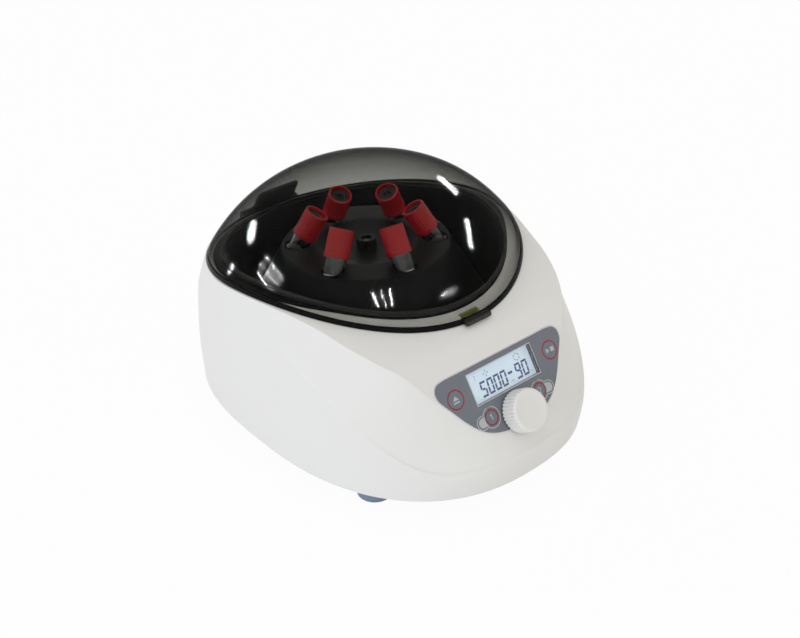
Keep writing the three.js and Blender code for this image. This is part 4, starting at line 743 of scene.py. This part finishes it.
envelope = revolve([(0, 66)] + skirt + [(0, 131)], 128)
for number in range(PLACES):
    sleeve_line = round_tip(SLEEVE_RADIUS, sleeve_tip - 2.4) + [(SLEEVE_RADIUS, 0), (0, 0)]
    sleeve = make_object("sleeve", revolve(sleeve_line, 40).moved(place_matrix(number)))
    combine(sleeve, [make_object("outside", envelope)], "INTERSECT")
    combine(rotor, [sleeve], "UNION")
for number in range(PLACES):
    place_line = round_tip(PLACE_RADIUS, sleeve_tip) + [(PLACE_RADIUS, TUBE_STANDING), (0, TUBE_STANDING)]
    cut(rotor, revolve(place_line, 40).moved(place_matrix(number)))
finished(rotor, "rotor_body", "spinner", rotor_black, ["rotor"], 30)


def fluted(count, depth):
    return lambda turns: -depth * (0.5 - 0.5 * np.cos(turns * count)) ** 3


nut_levels = [(8, 131.3), (8, 137.2), (7.6, 137.8), (7.0, 138.0), (5.2, 138.0), (4.3, 137.4), (4.3, 131.3)]
nut_rings = [ring(r, z, 144, fluted(18, 0.7) if r > 7.5 else None) for r, z in nut_levels]
piece("rotor_nut_fluted", loft(nut_rings, looped=True), "spinner", rotor_black, ["rotor_nut"], 40)

CAP_LINE = softened([
    (8.3, 10.2), (9.8, 10.2), (9.8, 14.0), (9.45, 14.2), (9.45, 31.6),
    (8.9, 32.4), (7.8, 32.4), (7.8, 24.7), (8.3, 24.7),
], 0.35)
PLUG_LINE = softened([
    (0, 19.7), (6.6, 19.7), (6.6, 24.7), (7.5, 24.7), (7.5, 29.4), (3.6, 29.4), (2.6, 26.4), (0, 26.4),
], 0.5)
TUBE_LINE = round_tip(TUBE_RADIUS, TUBE_TIP) + [(TUBE_RADIUS, TUBE_STANDING), (TUBE_BORE, TUBE_STANDING)]
TUBE_LINE += reversed(round_tip(TUBE_BORE, TUBE_TIP + 1.1))
LABEL_LINE = [(8.02, -9), (8.12, -9), (8.12, -3.0), (8.02, -3.0)]
cap_rings = [ring(r, z, 120, fluted(30, 0.28) if r > 9.3 and 14.1 < z < 31.8 else None) for r, z in CAP_LINE]
for number in range(PLACES):
    station = place_matrix(number)
    tag = number + 1
    for name, form, slot, material, replaces in (
        ("clear_tube", revolve(TUBE_LINE, 56), "tube_plastic", tube_clear, [f"tube_{tag}"]),
        ("tube_label", revolve(LABEL_LINE, 56, looped=True), "tube_plastic", label_white, ()),
        ("cap_shell", loft(cap_rings, looped=True), "red_cap", cap_red, [f"tube_cap_{tag}"]),
        ("stopper_plug", revolve(PLUG_LINE, 48), "stopper", stopper_black, [f"tube_stopper_{tag}"]),
    ):
        piece(f"{name}_{tag}", form.moved(station), "spinner", material, replaces, 40)

# Bowl and gasket

bowl_turns = np.arange(160) / 160 * math.tau


def seat_ring(inset, lift):
    return on_seat(outline_points(SEAT, bowl_turns, inset), lift)


def round_ring(radius, height):
    return ring(radius, height, len(bowl_turns))


# The white ledge is wide in front and narrow at the sides, where the lip nearly reaches the lid
lip_front = smoothstep(-np.sin(bowl_turns), 0.2, 0.75)


def lip_ring(side, front, lift):
    return on_seat(mix(seat_ring(side, 0), seat_ring(front, 0), lip_front[:, None])[:, :2], lift)


FILLET = 9
fillet = [
    (BOWL_RADIUS - FILLET + FILLET * math.sin(t), BOWL_FLOOR + FILLET - FILLET * math.cos(t)) for t in tip_turns
]
bowl_line = [(15, 80), (42, 80), (43, 79.4), (46, 52.6), (47, BOWL_FLOOR), *fillet, (BOWL_RADIUS, 100)]
bowl_inside = [round_ring(*point) for point in bowl_line]
wall_top, lip_low = round_ring(BOWL_RADIUS, 100), seat_ring(16.8, 1.0)
bowl_inside += flowing([wall_top, mix(wall_top, lip_low, 0.5), lip_low], 4)
bowl_outside = [seat_ring(16.2, 1.8), lip_ring(6.7, 13.5, 1.8), lip_ring(6.0, 12.9, 1.2), lip_ring(6.0, 12.9, 0.3)]
bowl_outside += [seat_ring(14.3, 0.3), seat_ring(14.3, -3)]
under_line = [(107, 100), (107, 61), (95.5, 49.5), (43.5, 49.5), (40.5, 77.5), (15, 77.5)]
bowl_outside += [round_ring(*point) for point in under_line]
piece("bowl_liner", loft(bowl_inside + bowl_outside, looped=True), "housing", bowl_black, ["rotor_bowl"], 35)
gasket_rings = [seat_ring(15.2, 2.1), lip_ring(11.75, 13.4, 2.1), lip_ring(11.75, 13.4, 4.4)]
gasket_rings += [lip_ring(12.5, 13.9, 5.1), seat_ring(15.2, 5.1)]
piece("lid_gasket", loft(gasket_rings, looped=True), "housing", soft_black, ["bowl_gasket"], 35)

# Control face

WINDOW = ((-32.3, 32.3), (-35.1, -10.6))
overlay = make_object("overlay_film", on_face(prism(overlay_outline(0), -1.0, -0.35)))
surround = [(x, y - 23.2) for x, y in rounded_rectangle(36.2, 15.3, 1.2)]
join(overlay, on_face(soft_prism(surround, -0.8, -0.2, 0.15, 2)))
cut(overlay, on_face(block(*WINDOW, (-THROUGH, THROUGH))))
face_holes(overlay)
finished(overlay, "overlay_film", "housing", overlay_grey, ["control_overlay"], 30)


def face_piece(name, form, material, replaces=(), smooth=40, body="housing"):
    return piece(name, on_face(form), body, material, replaces, smooth)


def stroke(points, width, low, high, closed=False):
    """A printed line of even width along a path in the face."""
    points = np.array(points, dtype=float)
    before = points - np.roll(points, 1, axis=0)
    after = np.roll(points, -1, axis=0) - points
    if not closed:
        before[0], after[-1] = after[0], before[-1]
    before, after = unit(before), unit(after)
    along = unit(before + after)
    reach = width / 2 / np.maximum(0.5, np.sum(along * after, axis=1))
    side = np.column_stack((-along[:, 1], along[:, 0])) * reach[:, None]
    rings = [
        [(*left, low), (*right, low), (*right, high), (*left, high)]
        for left, right in zip(points + side, points - side)
    ]
    return loft(rings, looped=closed)


def arc(centre, radius, start, end, steps=10):
    """Points along an arc, angles in degrees."""
    turns = np.radians(np.linspace(start, end, steps + 1))
    return [(centre[0] + radius * math.cos(t), centre[1] + radius * math.sin(t)) for t in turns]


KEY_TOP = -0.25
PRINT_LOW, PRINT_HIGH = -0.36, -0.31
SIGN = (KEY_TOP - 0.02, KEY_TOP + 0.03)
SYMBOLS = {
    "door_key": [
        prism([(-2.7, -0.5), (2.7, -0.5), (0, 2.7)], *SIGN),
        stroke([(-2.7, -2.1), (2.7, -2.1)], 1.1, *SIGN),
    ],
    "start_stop_key": [
        prism([(-3.6, -2.0), (-0.5, 0), (-3.6, 2.0)], *SIGN),
        prism([(0.7, -1.7), (4.1, -1.7), (4.1, 1.7), (0.7, 1.7)], *SIGN),
    ],
    "program_1_key": [stroke([(-1.0, 1.2), (0.3, 2.1), (0.3, -2.1)], 0.75, *SIGN)],
    "program_2_key": [stroke(arc((0, 0.9), 1.25, 170, -35) + [(-1.35, -1.95), (1.5, -1.95)], 0.7, *SIGN)],
}
for name, (across, down, radius) in KEYS.items():
    body = name.replace("key", "button")
    flange = radius + 1.5
    profile = [(0, -9.15), (2.5, -9.15), (2.5, -4.9), (flange, -4.9), (flange, -3.7), (radius, -3.7)]
    profile += [(radius, -0.12), (radius * 0.9, -0.12), (radius * 0.84, KEY_TOP), (0, KEY_TOP)]
    key = revolve(softened(profile, 0.25, 3), 72)
    face_piece(f"{name}_cap", key.shifted(across, -down, 0), overlay_grey, [name], body=body)
    symbol = Form()
    for mark in SYMBOLS[name]:
        symbol.add(mark)
    face_piece(f"{name}_symbol", symbol.shifted(across, -down, 0), print_pale, body=body)
    red_line = stroke(circle(radius + 0.72, 72), 0.78, PRINT_LOW, PRINT_HIGH, closed=True)
    face_piece(f"{name}_red_ring", red_line.shifted(across, -down, 0), key_red)


def circle_exit(turn, centre, radius):
    """Where a ray from the origin leaves a circle, or zero where it misses it."""
    ahead = centre[0] * math.cos(turn) + centre[1] * math.sin(turn)
    inside = ahead * ahead - centre[0] ** 2 - centre[1] ** 2 + radius * radius
    return ahead + math.sqrt(inside) if inside > 0 else 0


for name, side in (("program_1_key", -1), ("program_2_key", 1)):
    across, down, radius = KEYS[name]
    lobe = (side * 8.9, -0.9)
    toward = math.atan2(lobe[1], lobe[0])
    turns = np.arange(96) / 96 * math.tau
    reach = [max(7.6, circle_exit(t, lobe, 5.0)) for t in turns]
    rim = [(r * math.cos(t), r * math.sin(t)) for r, t in zip(reach, turns)]
    outline = stroke(rim, 0.65, PRINT_LOW, PRINT_HIGH, True)
    face_piece(f"{name}_outline", outline.shifted(across, -down, 0), print_pale)
    spread = np.radians(np.linspace(-33, 33, 25))
    pad = [(6.3 * math.cos(toward + t), 6.3 * math.sin(toward + t)) for t in reversed(spread)]
    for t in spread:
        beside = 3.5 / max(abs(math.sin(t)), 1e-6)
        far = circle_exit(t, (math.hypot(*lobe), 0), 3.5)
        reach = beside if beside * math.cos(t) < math.hypot(*lobe) else far
        pad.append((reach * math.cos(toward + t), reach * math.sin(toward + t)))
    face_piece(f"{name}_pad", prism(pad, PRINT_LOW, PRINT_HIGH).shifted(across, -down, 0), print_pale)

# Display: a pale panel at the bottom of a dark stepped frame, behind the clear window; the pale ledge on the step is a
# painted highlight line

PANEL_LEVEL = -5.25
MARK = (PANEL_LEVEL - 0.02, PANEL_LEVEL + 0.05)


def window_frame(outer, inner, low, high):
    """A rectangular frame round the window; outer and inner are its edges, in from the window's."""
    (left, far_right), (bottom, top) = WINDOW
    outside, inside = [
        [(left + d, bottom + d), (far_right - d, bottom + d), (far_right - d, top - d), (left + d, top - d)]
        for d in (outer, inner)
    ]
    rings = [raised(line, level) for line, level in ((outside, low), (outside, high), (inside, high), (inside, low))]
    return loft(rings, looped=True)


panel_line = [(x, y - 22.85) for x, y in rounded_rectangle(32.2, 12.15, 0.4)]
panel = soft_prism(panel_line, -8.0, PANEL_LEVEL, 0.1)
face_piece("display_panel", panel, display_pale, ["display_module"], 30)
for name, edges, slot, material in (
    ("display_well_low", (0.05, 0.75, PANEL_LEVEL + 0.02, -3.7), "display", well_dark),
    ("display_well_high", (0.05, 0.35, -3.6, -1.32), "display", well_dark),
    # The step's pale colour is a painted highlight: it stands for light caught along the dark wall of the well
    ("display_well_highlight_step", (0.05, 0.7, -3.7, -3.6), "display", frame_print_and_highlight),
    ("window_border", (0.1, 0.85, -0.43, -0.36), "overlay", frame_print_and_highlight),
):
    face_piece(name, window_frame(*edges), material, smooth=30)


def segment_digit(value, width, height, line):
    """Seven-segment figure with its foot at the origin, as marks lying on the panel."""
    shown = {"0": "abcdef", "5": "afgcd", "9": "abcdfg", "-": "g"}[value]
    gap = line * 0.18
    edge = line / 2
    left, right_end, foot, head = edge, width - edge, edge, height - edge
    half = height / 2
    spans = {
        "a": ((left - edge + gap, head), (right_end + edge - gap, head)),
        "b": ((right_end, half + gap), (right_end, head - edge - gap)),
        "c": ((right_end, foot + edge + gap), (right_end, half - gap)),
        "d": ((left - edge + gap, foot), (right_end + edge - gap, foot)),
        "e": ((left, foot + edge + gap), (left, half - gap)),
        "f": ((left, half + gap), (left, head - edge - gap)),
        "g": ((left + edge, half), (right_end - edge, half)),
    }
    form = Form()
    for part in shown:
        form.add(stroke(spans[part], line, *MARK))
    return form


slant = Matrix.Identity(4)
slant[0][1] = 0.08
digits = Form()
for value, across in zip("500090", (-21.3, -14.6, -7.9, -1.2, 13.6, 20.4)):
    digits.add(segment_digit(value, 5.6, 11.4, 1.5).moved(slant).shifted(across, -32.2, 0))
digits.add(stroke([(6.8, -24.9), (11.0, -24.9)], 1.7, *MARK))
face_piece("display_digits", digits, digit_blue)

signs = Form()
for turn in (45, 135, 225, 315):
    across, along = math.cos(math.radians(turn + 45)), math.sin(math.radians(turn + 45))
    signs.add(stroke([(-11.8 + r * across, -16.7 + r * along) for r in (1.1, 2.6)], 0.6, *MARK))
for turn in range(0, 360, 60):
    signs.add(stroke(arc((19.6, -16.7), 2.5, turn + 12, turn + 48, 5), 0.5, *MARK))
for mark_end in ((-22.3, -14.9), (-22.5, -16.9)):
    signs.add(stroke([mark_end, (mark_end[0] - 0.2, mark_end[1] - 1.1)], 0.5, *MARK))
for left_end, right_end in ((7.0, 10.2), (26.9, 28.9)):
    signs.add(stroke([(left_end, -30.9), (right_end, -30.9)], 0.4, *MARK))
face_piece("display_signs", signs, sign_blue)

# Knob

knob_levels = softened([(16, 0.8), (16, 12.0), (15.2, 13.6), (14.2, 14.0)], 0.9)
knob_rings = []
for radius, height in knob_levels:
    depth = 0.75 if height < 12.4 else 0.75 * max(0, (13.9 - height) / 1.5)
    knob_rings.append(ring(radius, height, 288, fluted(36, depth)))
knob_rings += [ring(r, z, 288) for r, z in ((13.4, 14.0), (12.6, 13.85), (6, 13.75), (0.001, 13.75))]
knob_hollow = (
    (0.001, 11.4), (3.3, 11.4), (3.3, 2.1), (4.9, 2.1), (4.9, 0.8), (5.2, 0.8), (5.2, 11.4), (13.8, 11.4), (13.8, 0.8),
)
knob_form = loft([ring(r, z, 288) for r, z in knob_hollow] + knob_rings).shifted(0, -KNOB_DOWN, 0)
face_piece("ribbed_knob", knob_form, knob_white, ["control_knob"], 35, "knob")

# Feet

for name, (x, y) in FEET.items():
    profile = softened([(5.5, 6), (5.5, 0), (12.6, 0), (13.8, 1.2), (14.4, 14.4), (2.6, 14.4), (2.6, 6)], 0.8)
    piece(f"{name}_pad", revolve(profile, 56, looped=True).shifted(x, y, 0), "housing", foot_rubber, [name], 35)

# Screws: pan heads with a crossed slot, seat at height 0 and the shank below it

def screw(head_radius, head_height, shank_radius, shank_length):
    head = [(shank_radius, 0), (head_radius, 0), (head_radius, head_height * 0.55)]
    head += [(head_radius * 0.7, head_height), (0, head_height)]
    profile = [(0, -shank_length), (shank_radius * 0.8, -shank_length), (shank_radius, 0.8 - shank_length)]
    return revolve(profile + softened(head, head_height * 0.4), 40)


def screw_piece(name, place, sizes):
    made = make_object(name, screw(*sizes).moved(place))
    half_slot, slot_floor = sizes[0] * 0.14, sizes[1] * 0.45
    for turn in (0.6, 0.6 + math.pi / 2):
        groove = block((-sizes[0] * 0.6, sizes[0] * 0.6), (-half_slot, half_slot), (slot_floor, THROUGH))
        cut(made, groove.moved(place @ Matrix.Rotation(turn, 4, "Z")))
    return finished(made, name, "housing", turned_steel, smooth=35)


for name, (x, y) in FEET.items():
    facing_down = Matrix.Translation((x, y, 6)) @ Matrix.Rotation(math.pi, 4, "X")
    screw_piece(f"{name}_screw", facing_down, (4.4, 3.0, 2.1, 11))
for number in range(3):
    turn = math.pi / 2 + number * math.tau / 3
    on_plate = Matrix.Translation((52 * math.cos(turn), 52 * math.sin(turn), 32.3))
    screw_piece(f"plate_screw_{number + 1}", on_plate, (3.6, 2.4, 1.8, 2))

# Rear: plated blades over the inlet's pins, and the marks on the rocker

for number, (across, up) in enumerate(((INLET_ACROSS - 7, -3), (INLET_ACROSS + 7, -3), (INLET_ACROSS, 3.6))):
    blade_line = [(x + across, y + up) for x, y in rounded_rectangle(1.06, 2.06, 0.3, 3)]
    blade = on_rear(soft_prism(blade_line, -13.5, -1.5, 0.5))
    piece(f"inlet_blade_{number + 1}", blade, "housing", turned_steel, smooth=40)
rocker_place = REAR @ Matrix.Translation((SWITCH_ACROSS, 0, -0.2)) @ Matrix.Rotation(math.radians(-10), 4, "X")
valley_slope = math.atan2(1.4, 8)
rocker_marks = Form()
for mark, slope in (
    (stroke([(0, 3.1), (0, 6.1)], 0.8, -0.05, 0.08), valley_slope),
    (stroke(circle(1.5, 32), 0.6, -0.05, 0.08, True).shifted(0, -4.6, 0), -valley_slope),
):
    on_slope = rocker_place @ Matrix.Translation((0, 0, 1.1)) @ Matrix.Rotation(slope, 4, "X")
    rocker_marks.add(mark.moved(on_slope))
piece("rocker_marks", rocker_marks, "rocker", label_white, smooth=40)

# Pieces that take their shape from the source and get soft edges here

def soft_edged(name, body, material, width):
    """A copy of the source's piece with its flat faces joined and its edges rounded by width."""
    source = nodes[name]
    work = bmesh.new()
    work.from_mesh(source.data)
    work.transform(source.matrix_world)
    bmesh.ops.remove_doubles(work, verts=work.verts, dist=WELD_DISTANCE)
    bmesh.ops.dissolve_limit(work, angle_limit=math.radians(1), verts=work.verts, edges=work.edges)
    bmesh.ops.recalc_face_normals(work, faces=work.faces)
    corners = [edge for edge in work.edges if edge.is_manifold and edge.calc_face_angle(0) > math.radians(50)]
    bmesh.ops.bevel(
        work, geom=corners, offset=width * MM, offset_type="OFFSET", segments=3, profile=0.5, affect="EDGES",
        clamp_overlap=True,
    )
    mesh = bpy.data.meshes.new(f"{name}_soft")
    work.to_mesh(mesh)
    work.free()
    return finished(linked(mesh.name, mesh), mesh.name, body, material, [name], 35)


for name, body, slot, material, width in (
    ("base_tray", "housing", "tray", tray_grey, 0.4),
    ("motor_plate", "housing", "steel", turned_steel, 0.4),
    ("motor_case", "housing", "motor", motor_enamel, 0.8),
    ("lock_case", "housing", "black_plastic", hard_black, 0.5),
    ("latch_bolt", "bolt", "steel", turned_steel, 0.3),
    ("hinge_bracket_left", "housing", "black_plastic", hard_black, 0.5),
    ("hinge_bracket_right", "housing", "black_plastic", hard_black, 0.5),
    ("lid_hinge_arm", "lid", "black_plastic", hard_black, 0.6),
    ("power_inlet", "housing", "black_plastic", hard_black, 0.4),
    ("switch_frame", "housing", "black_plastic", hard_black, 0.4),
    ("power_rocker", "rocker", "rocker", rocker_black, 0.4),
    ("lid_striker", "lid", "striker", yellow_metal, 0.25),
):
    soft_edged(name, body, material, width)

# Materials of the nodes that keep their own shape

for material, names in (
    (soft_black, ("damper_1", "damper_2", "damper_3", "shaft_boot")),
    (turned_steel, ("encoder_body", "encoder_plunger", "encoder_shaft", "hinge_pin", "motor_shaft")),
    (board_green, ("control_board", "power_board")),
    (window_clear, ("display_window",)),
):
    for kept in [nodes[name] for name in names]:
        for place in kept.material_slots:
            place.material = material
        if not kept.material_slots:
            kept.data.materials.append(material)

# Floor, light and camera

floor_mesh = bpy.data.meshes.new("bench_floor")
floor_mesh.from_pydata([(-6, -6, 0), (6, -6, 0), (6, 6, 0), (-6, 6, 0)], [], [(0, 1, 2, 3)])
floor = linked("bench_floor", floor_mesh)
FLOOR_GLOW = 0.96


def seen_directly(tree):
    """One where the camera, a reflection or clear plastic shows the surface, zero where it only lights others."""
    ray = node(tree, "ShaderNodeLightPath")
    either = node(tree, "ShaderNodeMath", operation="MAXIMUM")
    any_way = node(tree, "ShaderNodeMath", operation="MAXIMUM")
    wire(
        tree, (ray, "Is Camera Ray", either, 0), (ray, "Is Glossy Ray", either, 1),
        (either, 0, any_way, 0), (ray, "Is Transmission Ray", any_way, 1),
    )
    return any_way


floor_paint, floor_tree, floor_shader = new_material("floor_paint")
fill(floor_shader, {"Base Color": (0.88, 0.88, 0.88, 1), "Roughness": 0.9, "Specular IOR Level": 0.0})
floor_glow = node(floor_tree, "ShaderNodeEmission", {"Color": (1, 1, 1, 1), "Strength": 1.0})
floor_mix = node(floor_tree, "ShaderNodeMixShader")
floor_seen = node(floor_tree, "ShaderNodeMath", {1: FLOOR_GLOW}, operation="MULTIPLY")
wire(
    floor_tree, (seen_directly(floor_tree), 0, floor_seen, 0), (floor_seen, 0, floor_mix, 0),
    (floor_shader, 0, floor_mix, 1), (floor_glow, 0, floor_mix, 2),
    (floor_mix, 0, floor_tree.nodes["Material Output"], "Surface"),
)
floor_mesh.materials.append(floor_paint)

world = bpy.data.worlds.new("studio")
bpy.context.scene.world = world
world.use_nodes = True
sky = world.node_tree
soft_sky = sky.nodes["Background"]
soft_sky.inputs["Strength"].default_value = 0.78
sky_way = node(sky, "ShaderNodeTexCoord")
sky_across = node(sky, "ShaderNodeSeparateXYZ")
sky_share = node(sky, "ShaderNodeMapRange", {"From Min": -1.0, "From Max": 1.0})
sky_tone = node(sky, "ShaderNodeMix", {"A": (1.22, 1.23, 1.31, 1), "B": (0.70, 0.68, 0.61, 1)}, data_type="RGBA")
white_sky = node(sky, "ShaderNodeBackground", {"Color": (1, 1, 1, 1), "Strength": 1.0})
sky_mix = node(sky, "ShaderNodeMixShader")
wire(
    sky, (sky_way, "Generated", sky_across, 0), (sky_across, "X", sky_share, "Value"),
    (sky_share, "Result", sky_tone, "Factor"), (sky_tone, "Result", soft_sky, "Color"),
    (seen_directly(sky), 0, sky_mix, 0), (soft_sky, 0, sky_mix, 1), (white_sky, 0, sky_mix, 2),
    (sky_mix, 0, sky.nodes["World Output"], "Surface"),
)


def area_light(name, size, power, colour=(1, 1, 1)):
    light = bpy.data.lights.new(name, "AREA")
    light.shape = "RECTANGLE"
    light.size, light.size_y = size
    light.energy = power
    light.color = colour
    return linked(name, light)


def hide_from(held, *rays):
    for ray in rays:
        setattr(held, f"visible_{ray}", False)


for name, place, size, power, colour in (
    ("key_light", (-1.95, -0.6, 0.3), (0.9, 0.5), 8, (0.78, 0.88, 1.0)),
    ("fill_light", (0.3, -1.7, 1.2), (1.2, 1.0), 2, (1.0, 0.98, 0.94)),
):
    held = area_light(name, size, power, colour)
    held.location = place
    held.rotation_euler = (Vector((0, 0, 0.1)) - Vector(place)).to_track_quat("-Z", "Y").to_euler()
    hide_from(held, "glossy", "transmission")

lid_gloss = bpy.data.collections.new("lid_gloss")
lid_gloss.objects.link(smoky_dome)
# Rows of slim ceiling lamps that only the gloss shows: start, end and width, metres about the rotor axis
CEILING = [
    ((-0.70, 1.95, 1.02), (-0.19, 2.11, 0.86), 0.05), ((-0.76, 1.89, 1.09), (-0.22, 2.08, 0.93), 0.05),
    ((-0.70, 1.90, 1.13), (-0.32, 2.03, 1.03), 0.05),
    ((-1.18, 1.37, 1.50), (-1.63, 0.46, 1.66), 0.06), ((-1.30, 1.36, 1.39), (-1.72, 0.52, 1.54), 0.06),
    ((-1.41, 1.34, 1.30), (-1.80, 0.58, 1.42), 0.06),
    ((-0.66, -1.40, 1.81), (-0.63, -1.60, 1.65), 0.08), ((-0.48, -1.49, 1.79), (-0.48, -1.67, 1.62), 0.08),
    ((-0.28, -1.56, 1.77), (-0.35, -1.72, 1.60), 0.09),
    ((0.67, -1.81, 1.35), (0.90, -1.72, 1.33), 0.02), ((0.78, -1.79, 1.32), (1.03, -1.67, 1.29), 0.02),
    ((0.88, -1.76, 1.29), (1.14, -1.63, 1.24), 0.02),
    ((1.84, 0.94, 0.97), (2.02, 0.38, 1.05), 0.06), ((1.85, 0.86, 1.06), (2.00, 0.31, 1.10), 0.06),
    ((1.85, 0.77, 1.12), (1.98, 0.31, 1.14), 0.06),
    ((1.96, -0.36, 1.20), (1.75, -0.98, 1.19), 0.17), ((-0.94, 1.96, 0.76), (-1.06, 1.97, 0.52), 0.14),
]
STRIP_GLOW = 240.0
for number, (start, end, width) in enumerate(CEILING):
    start, end = Vector(start), Vector(end)
    length = (end - start).length
    power = STRIP_GLOW * math.pi * length * width
    held = area_light(f"ceiling_strip_{number + 1}", (length, width * 0.6), power)
    along = (end - start).normalized()
    outward = ((start + end) / 2 - Vector((0, 0, 0.15))).normalized()
    side = outward.cross(along).normalized()
    turned = Matrix((along, side, along.cross(side))).transposed().to_4x4()
    held.matrix_world = Matrix.Translation((start + end) / 2 + Vector((0, AXIS_BACK, 0))) @ turned
    held.light_linking.receiver_collection = lid_gloss
    hide_from(held, "camera", "diffuse", "transmission", "volume_scatter")

# Camera: focal length in pixels of a picture of this width, angles in degrees, place in metres
FOCAL_PIXELS, PICTURE_WIDTH, SENSOR_WIDTH = 1105.954, 800, 36
CAMERA_DISTANCE = 0.854147
camera_data = bpy.data.cameras.new("bench_camera")
camera = linked("bench_camera", camera_data)
bpy.context.scene.camera = camera
camera_data.sensor_width = SENSOR_WIDTH
camera_data.lens = FOCAL_PIXELS / PICTURE_WIDTH * SENSOR_WIDTH
azimuth, elevation, roll = map(math.radians, (-39.366, 30.735, -2.221))
level = math.cos(elevation)
back = Vector((math.sin(azimuth) * level, -math.cos(azimuth) * level, math.sin(elevation)))
right = (-back).cross(Vector((0, 0, 1))).normalized()
up = right.cross(-back)
turned_right = right * math.cos(roll) + up * math.sin(roll)
turned_up = -right * math.sin(roll) + up * math.cos(roll)
target = Vector((-8.9965, -48.5582 + AXIS_BACK / MM, 88.4663)) * MM
facing = Matrix((turned_right, turned_up, back)).transposed().to_4x4()
camera.matrix_world = Matrix.Translation(target + back * CAMERA_DISTANCE) @ facing
bpy.context.scene.view_settings.view_transform = "Standard"
